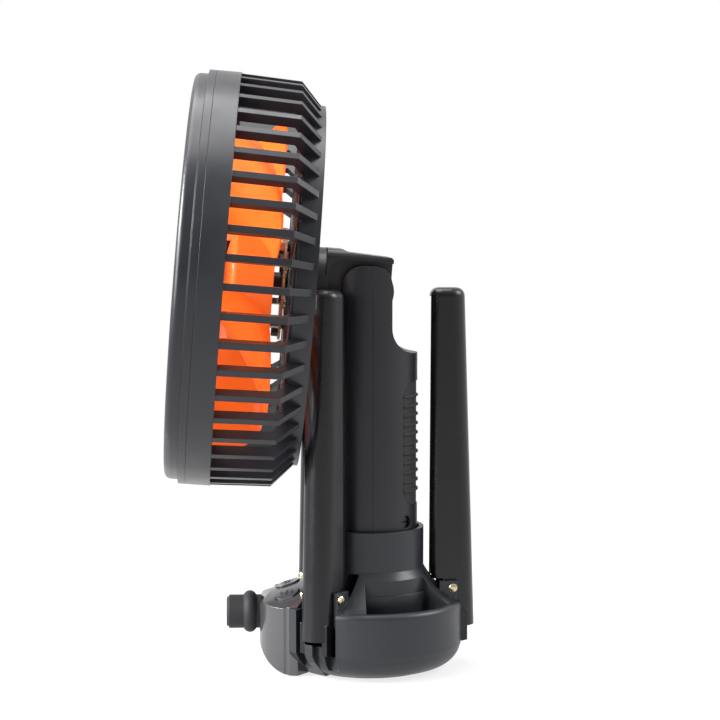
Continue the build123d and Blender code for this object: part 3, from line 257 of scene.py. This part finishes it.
@dataclass(frozen=True)
class SoftRubber:
    """Overmoulded thermoplastic rubber.

    The eye sees a matt dark skin, faintly dusty, with no sharp reflection. Its grain is
    drawn at about twice the real pitch, so that it shows.
    """

    name: str
    colour: str
    roughness: float = 0.62
    roughness_spread: tuple[float, float] = (-0.08, 0.12)
    grain_mm: float = 0.25
    grain_height_mm: float = 0.02
    dust_mm: float = 9.0
    dust_share: float = 0.5
    dust_range: tuple[float, float] = (0.45, 0.8)
    dust_gain: float = 1.5
    dust_lift: float = 0.004
    specular: float = 0.35
    edge_mm: float = 0.4

    def make(self) -> bpy.types.Material:
        """Build the node material.

        Returns:
            The material.
        """
        material, tree = new_material(self.name)
        place = add(tree, "TexCoord").outputs["Object"]
        grain = add(tree, "TexNoise", {"Vector": place, "Scale": per_mm(self.grain_mm), "Detail": 3.0})
        dust = add(tree, "TexNoise", {"Vector": place, "Scale": per_mm(self.dust_mm), "Detail": 5.0,
                                     "Roughness": 0.7})
        base = linear(self.colour)
        pale = tuple(channel * self.dust_gain + self.dust_lift for channel in base[:3]) + (1.0,)
        amount = add(tree, "MapRange", {
            "Value": dust.outputs["Fac"], "To Max": self.dust_share,
            "From Min": self.dust_range[0], "From Max": self.dust_range[1],
        })
        tint = add(tree, "Mix", {
            "Factor": amount.outputs["Result"],
            MIX_A: base,
            MIX_B: pale,
        }, data_type="RGBA")
        gloss = add(tree, "MapRange", {
            "Value": dust.outputs["Fac"], "To Min": self.roughness + self.roughness_spread[0],
            "To Max": self.roughness + self.roughness_spread[1],
        })
        edge = add(tree, "Bevel", {"Radius": self.edge_mm * MM}, samples=BEVEL_SAMPLES)
        bump = add(tree, "Bump", {
            "Height": grain.outputs["Fac"], "Distance": self.grain_height_mm * MM,
            "Normal": edge.outputs["Normal"],
        })
        shader = add(tree, "BsdfPrincipled", {
            "Base Color": tint.outputs[MIX_RESULT], "Roughness": gloss.outputs["Result"],
            "Specular IOR Level": self.specular, "Normal": bump.outputs["Normal"],
        })
        add(tree, "OutputMaterial", {"Surface": shader.outputs["BSDF"]})
        return material


@dataclass(frozen=True)
class Metal:
    """Turned or plated metal.

    The eye sees a bright reflection drawn out by fine tool marks, which are drawn
    coarser than the real ones so that they show.
    """

    name: str
    colour: str
    roughness: float = 0.3
    roughness_spread: tuple[float, float] = (-0.1, 0.15)
    mark_mm: float = 0.3
    mark_height_mm: float = 0.01
    mark_strength: float = 0.7
    wear_mm: float = 2.5
    wear_tint: float = 0.8

    def make(self) -> bpy.types.Material:
        """Build the node material.

        Returns:
            The material.
        """
        material, tree = new_material(self.name)
        place = add(tree, "TexCoord").outputs["Object"]
        marks = add(tree, "TexNoise", {"Vector": place, "Scale": per_mm(self.mark_mm), "Detail": 2.0})
        wear = add(tree, "TexNoise", {"Vector": place, "Scale": per_mm(self.wear_mm), "Detail": 4.0})
        gloss = add(tree, "MapRange", {
            "Value": wear.outputs["Fac"], "To Min": self.roughness + self.roughness_spread[0],
            "To Max": self.roughness + self.roughness_spread[1],
        })
        base = linear(self.colour)
        tint = add(tree, "Mix", {
            "Factor": wear.outputs["Fac"],
            MIX_A: scaled(base, self.wear_tint),
            MIX_B: base,
        }, data_type="RGBA")
        bump = add(tree, "Bump", {
            "Height": marks.outputs["Fac"], "Distance": self.mark_height_mm * MM,
            "Strength": self.mark_strength,
        })
        shader = add(tree, "BsdfPrincipled", {
            "Base Color": tint.outputs[MIX_RESULT], "Roughness": gloss.outputs["Result"], "Metallic": 1.0,
            "Normal": bump.outputs["Normal"],
        })
        add(tree, "OutputMaterial", {"Surface": shader.outputs["BSDF"]})
        return material


@dataclass(frozen=True)
class BoardLaminate:
    """Copper clad paper laminate under varnish.

    The eye sees a warm tan sheen with a darker layout of tracks.
    """

    name: str
    colour: str
    track: str
    track_mm: float = 2.2
    track_height_mm: float = 0.03
    track_edge: tuple[float, float] = (0.04, 0.09)
    roughness: float = 0.35
    ior: float = 1.5

    def make(self) -> bpy.types.Material:
        """Build the node material.

        Returns:
            The material.
        """
        material, tree = new_material(self.name)
        place = add(tree, "TexCoord").outputs["Object"]
        tracks = add(tree, "TexVoronoi", {"Vector": place, "Scale": per_mm(self.track_mm)},
                     distance="CHEBYCHEV", feature="DISTANCE_TO_EDGE")
        line = add(tree, "MapRange", {
            "Value": tracks.outputs["Distance"],
            "From Min": self.track_edge[0], "From Max": self.track_edge[1],
        })
        tint = add(tree, "Mix", {
            "Factor": line.outputs["Result"],
            MIX_A: linear(self.track),
            MIX_B: linear(self.colour),
        }, data_type="RGBA")
        bump = add(tree, "Bump", {"Height": line.outputs["Result"], "Distance": self.track_height_mm * MM})
        shader = add(tree, "BsdfPrincipled", {
            "Base Color": tint.outputs[MIX_RESULT], "Roughness": self.roughness, "IOR": self.ior,
            "Normal": bump.outputs["Normal"],
        })
        add(tree, "OutputMaterial", {"Surface": shader.outputs["BSDF"]})
        return material


Finish = MouldedPlastic | GlossPlastic | SoftRubber | Metal | BoardLaminate

HEAD_PLASTIC = MouldedPlastic("spark-eroded ABS, head", "#202126", roughness=0.34)
COLUMN_PLASTIC = MouldedPlastic("spark-eroded ABS, column", "#1b1b20", roughness=0.40)
BASE_PLASTIC = MouldedPlastic("spark-eroded ABS, base", "#24262b", roughness=0.38)
POD_PLASTIC = MouldedPlastic("satin ABS, pod", "#3c3c3e", roughness=0.18, specular=1.0,
                             roughness_spread=0.04, grain_height_mm=0.006)
LEG_PLASTIC = MouldedPlastic("satin ABS, legs", "#101014", roughness=0.28, grain_height_mm=0.007,
                             specular=0.36)
BUTTON_PLASTIC = MouldedPlastic("satin ABS, buttons", "#3c3c3e", roughness=0.18, specular=1.0,
                                roughness_spread=0.04, grain_height_mm=0.006)
HOLDER_PLASTIC = MouldedPlastic("moulded nylon", "#1a1a1b", roughness=0.5)
MARK_PLASTIC = MouldedPlastic("raised key marks", "#19191a", roughness=0.5)
# the blades' emission is painted glow, standing in for the light that falls on them
BLADE_PLASTIC = GlossPlastic("orange polypropylene", "#ff903a", glow=0.5, painted_glow=0.38)
GRIP_RUBBER = SoftRubber("thermoplastic rubber", "#28282a")
STEEL = Metal("turned steel", "#b9b9bc")
BLACK_STEEL = Metal("blackened steel", "#4a4a4d", roughness=0.38)
NICKEL = Metal("nickel plate", "#d8cba8", roughness=0.24)
MAGNET = Metal("sintered magnet", "#3c3c40", roughness=0.5)
COPPER = Metal("enamelled copper", "#a85b2c", roughness=0.35)
LAMINATE = BoardLaminate("board laminate", "#b58f5e", "#6f5a3a")
CELL_WRAP = GlossPlastic("cell shrink wrap", "#1f4f86", glow=0.0)
CHIP_EPOXY = MouldedPlastic("chip epoxy", "#161617", roughness=0.45)
CAPACITOR_SLEEVE = GlossPlastic("capacitor sleeve", "#23252c", glow=0.0)
CONNECTOR_NYLON = GlossPlastic("natural nylon", "#e8e2d0", roughness=0.4, glow=0.15)

FINISH_BY_SLOT: dict[str, Finish] = {
    "head_plastic": HEAD_PLASTIC,
    "column_plastic": COLUMN_PLASTIC,
    "base_plastic": BASE_PLASTIC,
    "pod_plastic": POD_PLASTIC,
    "button_plastic": BUTTON_PLASTIC,
    "leg_plastic": LEG_PLASTIC,
    "blade_plastic": BLADE_PLASTIC,
    "grip_rubber": GRIP_RUBBER,
    "steel": STEEL,
    "black_screw": BLACK_STEEL,
    "nickel_screw": NICKEL,
    "magnet": MAGNET,
    "copper_winding": COPPER,
    "circuit_board": LAMINATE,
    "cell_wrap": CELL_WRAP,
    "holder_plastic": HOLDER_PLASTIC,
}


@dataclass
class Wardrobe:
    """Keeps one material for each finish."""

    made: dict[str, bpy.types.Material] = field(default_factory=dict)

    def get(self, finish: Finish) -> bpy.types.Material:
        """Look up a finish's material, and make it the first time.

        Args:
            finish: The finish.

        Returns:
            Its material.
        """
        if finish.name not in self.made:
            self.made[finish.name] = finish.make()
        return self.made[finish.name]

    def dress_node(self, node: str, finish: Finish) -> None:
        """Give a CAD node a finish.

        Args:
            node: The node's name.
            finish: Its finish.
        """
        mesh = frame["nodes"][node].data
        mesh.materials.clear()
        mesh.materials.append(self.get(finish))

    def dress_frame(self) -> None:
        """Give every CAD node the finish of its slot."""
        for part in frame["record"]["subparts"]:
            self.dress_node(part["node"], FINISH_BY_SLOT[part["material_slot"]])


# ---- Shapes and places ---------------------------------------------------------------------
def joint(name: str) -> dict[str, Any]:
    """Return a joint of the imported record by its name."""
    return next(j for j in frame["record"]["behaviour"]["joints"] if j["name"] == name)


def reach(node: str, origin: Vector, way: Vector) -> float:
    """Measure how far a CAD node reaches from a point.

    Args:
        node: The node's name.
        origin: The point, in metres.
        way: Unit vector to measure along.

    Returns:
        The greatest distance along the vector, in metres.
    """
    return max((vertex.co - origin).dot(way) for vertex in frame["nodes"][node].data.vertices)


def local_frame(origin: Vector, normal: Vector, across: Vector) -> Matrix:
    """Build a local frame.

    Args:
        origin: Its origin, in metres.
        normal: Direction of its Z axis.
        across: Direction of its X axis, made square to the normal.

    Returns:
        The 4x4 matrix from local to frame.
    """
    up = normal.normalized()
    side = (across - up * across.dot(up)).normalized()
    rows = Matrix((side, up.cross(side), up)).transposed().to_4x4()
    return Matrix.Translation(origin) @ rows


def finish_piece(shape: bmesh.types.BMesh, name: str, body: Body, material: bpy.types.Material) -> bpy.types.Object:
    """Turn a shape into a piece that rides on a body.

    Args:
        shape: The geometry, already in the frame; it is freed.
        name: The piece's name.
        body: The body that carries it.
        material: Its finish.

    Returns:
        The new object.
    """
    mesh = bpy.data.meshes.new(name)
    bmesh.ops.recalc_face_normals(shape, faces=shape.faces)
    shape.to_mesh(mesh)
    shape.free()
    mesh.shade_smooth()
    mesh.set_sharp_from_angle(angle=math.radians(SHARP_ANGLE))
    mesh.materials.append(material)
    piece = bpy.data.objects.new(name, mesh)
    bpy.context.scene.collection.objects.link(piece)
    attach(piece, body.value)
    return piece


def join(shape: bmesh.types.BMesh, other: bmesh.types.BMesh, place: Matrix) -> None:
    """Add another shape to a shape.

    Args:
        shape: The shape that grows.
        other: The shape to add; it is freed.
        place: The other shape's local frame.
    """
    bmesh.ops.transform(other, matrix=place, verts=other.verts)
    mesh = bpy.data.meshes.new("scratch")
    other.to_mesh(mesh)
    other.free()
    shape.from_mesh(mesh)
    bpy.data.meshes.remove(mesh)


def turned(profile: list[tuple[float, float]], steps: int = 32) -> bmesh.types.BMesh:
    """Spin a profile fully round the local Z axis.

    Args:
        profile: Radius and height of each point in millimetres, from axis to axis.
        steps: Segments round the turn.

    Returns:
        The turned shape.
    """
    shape = bmesh.new()
    points = [shape.verts.new((radius * MM, 0.0, height * MM)) for radius, height in profile]
    edges = [shape.edges.new(pair) for pair in zip(points, points[1:])]
    bmesh.ops.spin(shape, geom=points + edges, cent=(0, 0, 0), axis=(0, 0, 1),
                   angle=math.tau, steps=steps, use_merge=True)
    bmesh.ops.remove_doubles(shape, verts=shape.verts, dist=WELD_MM * MM)
    return shape


def brick(size: tuple[float, float, float], edge: float) -> bmesh.types.BMesh:
    """Make a block on the local XY plane with rounded edges.

    Args:
        size: Its sides in millimetres.
        edge: Radius of the edges in millimetres.

    Returns:
        The block.
    """
    shape = bmesh.new()
    stretch = Matrix.Diagonal([side * MM for side in size] + [1.0])
    place = Matrix.Translation((0, 0, size[2] / 2 * MM)) @ stretch
    bmesh.ops.create_cube(shape, size=1.0, matrix=place)
    bmesh.ops.bevel(shape, geom=shape.edges[:], offset=edge * MM, offset_type="OFFSET", segments=2,
                    profile=0.5, affect="EDGES", material=-1)
    return shape


def bead(points: list[Vector], radius: float, sides: int = 8) -> bmesh.types.BMesh:
    """Lay a round bead through points.

    Args:
        points: The bead's middle line, in metres.
        radius: Its radius in millimetres.
        sides: Sides of its section.

    Returns:
        The closed bead.
    """
    shape = bmesh.new()
    rings = []
    for index, point in enumerate(points):
        ahead = points[min(index + 1, len(points) - 1)]
        behind = points[max(index - 1, 0)]
        place = local_frame(point, ahead - behind, UP)
        last = index in (0, len(points) - 1)
        made = bmesh.ops.create_circle(shape, cap_ends=last, segments=sides, radius=radius * MM, matrix=place)
        rings.append(list({edge for vertex in made["verts"] for edge in vertex.link_edges}))
    for first, second in zip(rings, rings[1:]):
        bmesh.ops.bridge_loops(shape, edges=first + second)
    return shape


# ---- Sub-assemblies ------------------------------------------------------------------------
@dataclass
class Pod:
    """Control pod: raised marks on its three keys. Sizes in millimetres, arcs in degrees."""

    wardrobe: Wardrobe
    mark_radius: float = 0.32
    mark_sink: float = 0.08
    arc_steps: int = 10
    drop_from: float = 12.0
    waves: int = 2
    wave_length: float = 3.0
    wave_height: float = 0.9
    wave_steps: int = 12
    lamp_radius: float = 1.3
    rays: int = 6
    ray: tuple[float, float] = (2.0, 2.7)
    ring_radius: float = 2.0
    ring_arc: tuple[float, float] = (120.0, 420.0)
    ring_stem: tuple[float, float] = (0.9, 2.6)

    def build(self) -> list[bpy.types.Object]:
        """Raise a breeze mark, a lamp mark and a ring mark.

        Returns:
            The pieces.
        """
        breeze = [self.wave(-self.wave_height), self.wave(self.wave_height)]
        lamp = [self.arc(self.lamp_radius, 0.0, 360.0)]
        lamp += [[(math.cos(t) * r, math.sin(t) * r) for r in self.ray]
                 for t in (math.tau / self.rays * k for k in range(self.rays))]
        ring = [self.arc(self.ring_radius, *self.ring_arc), [(0.0, over) for over in self.ring_stem]]
        marks = {Body.NEAR_BUTTON: breeze, Body.MIDDLE_BUTTON: lamp, Body.FAR_BUTTON: ring}
        return [self.mark(body, strokes) for body, strokes in marks.items()]

    def wave(self, shift: float) -> list[tuple[float, float]]:
        """Points of a waved line along a key.

        Args:
            shift: Place of the middle line across the key, in millimetres.

        Returns:
            The points in millimetres.
        """
        points = []
        for k in range(self.wave_steps + 1):
            turn = self.waves * k / self.wave_steps
            over = self.wave_height * math.sin(math.tau * turn) + shift
            points.append((self.wave_length * (turn - self.waves / 2), over))
        return points

    def arc(self, radius: float, start: float, end: float) -> list[tuple[float, float]]:
        """Points of an arc round the middle of a key.

        Args:
            radius: Radius in millimetres.
            start: First angle in degrees.
            end: Last angle in degrees.

        Returns:
            The points in millimetres.
        """
        turns = [math.radians(start + (end - start) * k / self.arc_steps)
                 for k in range(self.arc_steps + 1)]
        return [(radius * math.cos(t), radius * math.sin(t)) for t in turns]

    def mark(self, body: Body, strokes: list[list[tuple[float, float]]]) -> bpy.types.Object:
        """Lay beads on a key's crowned top.

        Args:
            body: The key, whose CAD node has the same name.
            strokes: Lines in millimetres, along and across the key.

        Returns:
            The beads as one piece.
        """
        press = Vector(joint(f"{body.value}_press")["axis"])
        key = frame["nodes"][body.value]
        tree = BVHTree.FromObject(key, bpy.context.evaluated_depsgraph_get())
        low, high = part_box(body.value)
        middle = (Vector(low) + Vector(high)) / 2
        face = local_frame(middle, -press, Vector((1.0, 0.0, 0.0)))
        shape = bmesh.new()
        for stroke in strokes:
            points = []
            for along, over in stroke:
                start = face @ Vector((along * MM, over * MM, self.drop_from * MM))
                hit = tree.ray_cast(start, press)[0]
                points.append(hit + press * self.mark_sink * MM)
            join(shape, bead(points, self.mark_radius), Matrix.Identity(4))
        finish = self.wardrobe.get(MARK_PLASTIC)
        return finish_piece(shape, f"{body.value}_mark", body, finish)


@dataclass
class MotorBoard:
    """Parts soldered to the front of the motor's drive board, round the rotor.

    Sizes are in millimetres and turns in degrees round the spin axis, from the top.
    """

    wardrobe: Wardrobe
    ring_radius: float = 23.9
    seat: float = 0.05
    chip: tuple[float, float, float] = (3.6, 3.6, 1.2)
    plug: tuple[float, float, float] = (4.4, 9.0, 3.2)
    can_radius: float = 2.1
    can_height: float = 3.4
    can_edge: float = 0.4
    chip_edge: float = 0.15
    plug_edge: float = 0.2
    chip_turns: tuple[float, ...] = (20.0, 75.0, 165.0, 255.0, 285.0)
    can_turns: tuple[float, ...] = (48.0, 195.0, 222.0)
    plug_turn: float = 330.0

    def build(self) -> list[bpy.types.Object]:
        """Place the parts on the board's front.

        Returns:
            The pieces.
        """
        spin = joint("blade_spin")
        forward, middle = -Vector(spin["axis"]), Vector(spin["pos_m"])
        face = local_frame(middle + forward * reach("motor_board", middle, forward), forward, UP)
        chips, cans, plugs = bmesh.new(), bmesh.new(), bmesh.new()
        for turn in self.chip_turns:
            join(chips, brick(self.chip, self.chip_edge), face @ self.spot(turn))
        for turn in self.can_turns:
            join(cans, turned(self.can_profile()), face @ self.spot(turn))
        join(plugs, brick(self.plug, self.plug_edge), face @ self.spot(self.plug_turn))
        return [
            finish_piece(shape, f"motor_board_{name}", Body.HEAD, self.wardrobe.get(finish))
            for shape, name, finish in ((chips, "chips", CHIP_EPOXY), (cans, "capacitors", CAPACITOR_SLEEVE),
                                        (plugs, "plug", CONNECTOR_NYLON))
        ]

    def can_profile(self) -> list[tuple[float, float]]:
        """Half outline of a capacitor with a broken top edge.

        Returns:
            Radius and height of each point, in millimetres.
        """
        return [
            (0.0, -self.seat), (self.can_radius, -self.seat),
            (self.can_radius, self.can_height - self.can_edge),
            (self.can_radius - self.can_edge, self.can_height), (0.0, self.can_height),
        ]

    def spot(self, turn: float) -> Matrix:
        """Place on the board's outer ring at an angle in degrees, sunk by the seat."""
        return (Matrix.Rotation(math.radians(turn), 4, "Z")
                @ Matrix.Translation((self.ring_radius * MM, 0.0, -self.seat * MM)))


@dataclass
class LegPins:
    """Domed heads with a driver recess on the flat ends of the hinge pins, in millimetres."""

    wardrobe: Wardrobe
    head_radius: float = 2.0
    dome: float = 0.55
    recess_radius: float = 0.75
    recess_depth: float = 0.35
    sink: float = 0.05
    skirt: float = 0.1
    floor_share: float = 0.8
    dome_steps: int = 5

    def build(self) -> list[bpy.types.Object]:
        """Cap both ends of each pin.

        Returns:
            The pieces.
        """
        return [self.cap(body) for body in (Body.REAR_LEG, Body.NEAR_LEG, Body.FAR_LEG)]

    def cap(self, body: Body) -> bpy.types.Object:
        """Cap both ends of one leg's pin.

        Args:
            body: The leg that the pin rides on.

        Returns:
            The two heads as one piece.
        """
        swing = joint(f"{body.value}_swing")
        axis, middle = Vector(swing["axis"]), Vector(swing["pos_m"])
        shape = bmesh.new()
        for side in (-1.0, 1.0):
            outward = axis * side
            end = middle + outward * reach(f"{body.value}_pin", middle, outward)
            join(shape, turned(self.profile()), local_frame(end, outward, UP))
        return finish_piece(shape, f"{body.value}_pin_heads", body, self.wardrobe.get(NICKEL))

    def profile(self) -> list[tuple[float, float]]:
        """Half outline of a head: its skirt, the dome and the recess.

        Returns:
            Radius and height of each point, in millimetres.
        """
        outline = [(0.0, -self.sink), (self.head_radius, -self.sink), (self.head_radius, self.skirt)]
        for k in range(1, self.dome_steps + 1):
            share = k / self.dome_steps
            radius = self.head_radius + (self.recess_radius - self.head_radius) * share
            outline.append((radius, self.skirt + self.dome * math.sin(share * math.pi / 2)))
        floor = self.dome - self.recess_depth
        return outline + [(self.recess_radius * self.floor_share, floor), (0.0, floor)]


# ---- Studio --------------------------------------------------------------------------------
@dataclass(frozen=True)
class Lamp:
    """A square soft lamp: place and side in metres, power in watts."""

    name: str
    place: tuple[float, float, float]
    side: float
    power: float


LAMPS = (
    Lamp("overhead", (-0.25, 0.1, 1.2), 0.9, 14.0),
    Lamp("left_fill", (-1.1, -0.55, 0.45), 0.7, 15.0),
    Lamp("front_fill", (-1.0, -0.2, 0.7), 0.4, 22.0),
    Lamp("rear_fill", (0.9, -0.05, 0.8), 0.5, 8.0),
)


@dataclass
class Studio:
    """White floor, soft lamps and the camera, in metres and degrees.

    The world is white behind the fan and falls to the dark side's level towards the
    dark way, so that rounded plastic shows soft bright edges.
    """

    lens_mm: float = 96.2
    sensor_mm: float = 36.0
    azimuth: float = -3.18
    elevation: float = 4.25
    distance: float = 0.9401
    target: tuple[float, float, float] = (-0.00493, 0.0, 0.15055)
    floor_half: float = 8.0
    floor_glow: float = 0.77
    shadow_share: float = 0.2
    shadow_reach: tuple[float, float] = (0.12, 0.5)
    dark_side: float = 0.30
    dark_way: tuple[float, float, float] = (0.05, -0.98, -0.18)
    dark_reach: tuple[float, float] = (0.05, 0.9)
    soft_light: float = 0.72
    lamp_target: tuple[float, float, float] = (0.0, 0.0, 0.15)

    def backwards(self) -> Vector:
        """Unit vector from the target to the camera."""
        turn, rise = math.radians(self.azimuth), math.radians(self.elevation)
        return Vector((math.sin(turn) * math.cos(rise), -math.cos(turn) * math.cos(rise), math.sin(rise)))

    def build(self) -> None:
        """Build everything."""
        self.build_floor()
        self.build_world()
        for lamp in LAMPS:
            self.build_lamp(lamp)
        self.build_camera()

    def build_floor(self) -> None:
        """Lay a glowing white floor that takes a faint shadow close to the fan only."""
        shape = bmesh.new()
        bmesh.ops.create_grid(shape, x_segments=1, y_segments=1, size=self.floor_half)
        mesh = bpy.data.meshes.new("floor")
        shape.to_mesh(mesh)
        shape.free()
        floor = bpy.data.objects.new("floor", mesh)
        bpy.context.scene.collection.objects.link(floor)
        material, tree = new_material("white sweep")
        place = add(tree, "TexCoord").outputs["Object"]
        reach = add(tree, "VectorMath", {0: place}, operation="LENGTH")
        far = add(tree, "MapRange", {
            "Value": reach.outputs["Value"],
            "From Min": self.shadow_reach[0], "From Max": self.shadow_reach[1],
        }, interpolation_type="SMOOTHSTEP")
        diffuse = add(tree, "BsdfDiffuse", {"Color": scaled(WHITE, self.shadow_share)})
        glow = add(tree, "Emission", {"Color": WHITE, "Strength": self.floor_glow})
        near = add(tree, "AddShader", {0: diffuse.outputs[0], 1: glow.outputs[0]})
        plain = add(tree, "Emission", {"Color": WHITE, "Strength": 1.0})
        both = add(tree, "MixShader", {0: far.outputs["Result"], 1: near.outputs[0], 2: plain.outputs[0]})
        add(tree, "OutputMaterial", {"Surface": both.outputs[0]})
        mesh.materials.append(material)

    def build_world(self) -> None:
        """White to the camera; white behind, above and at the left, dark on the camera's side."""
        world = bpy.data.worlds.new("studio")
        bpy.context.scene.world = world
        world.use_nodes = True
        tree = world.node_tree
        tree.nodes.clear()
        path = add(tree, "LightPath")
        way = add(tree, "TexCoord").outputs["Generated"]
        front = add(tree, "VectorMath", {0: way, 1: self.dark_way}, operation="DOT_PRODUCT")
        shade = add(tree, "MapRange", {
            "Value": front.outputs["Value"], "From Min": self.dark_reach[0], "From Max": self.dark_reach[1],
            "To Min": 1.0, "To Max": self.dark_side,
        }, interpolation_type="SMOOTHSTEP")
        through = add(tree, "Math", {
            0: path.outputs["Is Camera Ray"], 1: path.outputs["Is Transmission Ray"],
        }, operation="MAXIMUM")
        dim = add(tree, "Math", {0: path.outputs["Is Diffuse Ray"], 1: self.soft_light - 1.0, 2: 1.0},
                  operation="MULTIPLY_ADD")
        level = add(tree, "Math", {0: shade.outputs["Result"], 1: dim.outputs[0]}, operation="MULTIPLY")
        around = add(tree, "Background", {"Color": WHITE, "Strength": level.outputs[0]})
        white = add(tree, "Background", {"Color": WHITE, "Strength": 1.0})
        mixed = add(tree, "MixShader", {0: through.outputs[0], 1: around.outputs[0], 2: white.outputs[0]})
        add(tree, "OutputWorld", {"Surface": mixed.outputs[0]})

    def build_lamp(self, lamp: Lamp) -> None:
        """Hang one lamp and aim it at the fan.

        Args:
            lamp: The lamp's place, size and power.
        """
        data = bpy.data.lights.new(lamp.name, "AREA")
        data.size = lamp.side
        data.energy = lamp.power
        hung = bpy.data.objects.new(lamp.name, data)
        bpy.context.scene.collection.objects.link(hung)
        aim = Vector(self.lamp_target) - Vector(lamp.place)
        hung.matrix_world = Matrix.Translation(lamp.place) @ aim.to_track_quat("-Z", "Y").to_matrix().to_4x4()

    def build_camera(self) -> None:
        """Set the camera at the product view."""
        data = bpy.data.cameras.new("camera")
        data.lens = self.lens_mm
        data.sensor_width = self.sensor_mm
        camera = bpy.data.objects.new("camera", data)
        bpy.context.scene.collection.objects.link(camera)
        place = Vector(self.target) + self.backwards() * self.distance
        turn = (-self.backwards()).to_track_quat("-Z", "Y").to_matrix().to_4x4()
        camera.matrix_world = Matrix.Translation(place) @ turn
        bpy.context.scene.camera = camera


def main() -> None:
    """Build the studio, dress the frame and add the pieces."""
    logging.basicConfig(level=logging.INFO, format="%(name)s: %(message)s")
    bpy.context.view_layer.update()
    bpy.context.scene.view_settings.view_transform = "Standard"
    Studio().build()
    LOG.info("studio ready")
    wardrobe = Wardrobe()
    wardrobe.dress_frame()
    LOG.info("dressed %d nodes", len(frame["nodes"]))
    for assembly in (Pod(wardrobe), MotorBoard(wardrobe), LegPins(wardrobe)):
        for piece in assembly.build():
            LOG.info("%s: %s", type(assembly).__name__, piece.name)


if __name__ == "__main__":
    main()
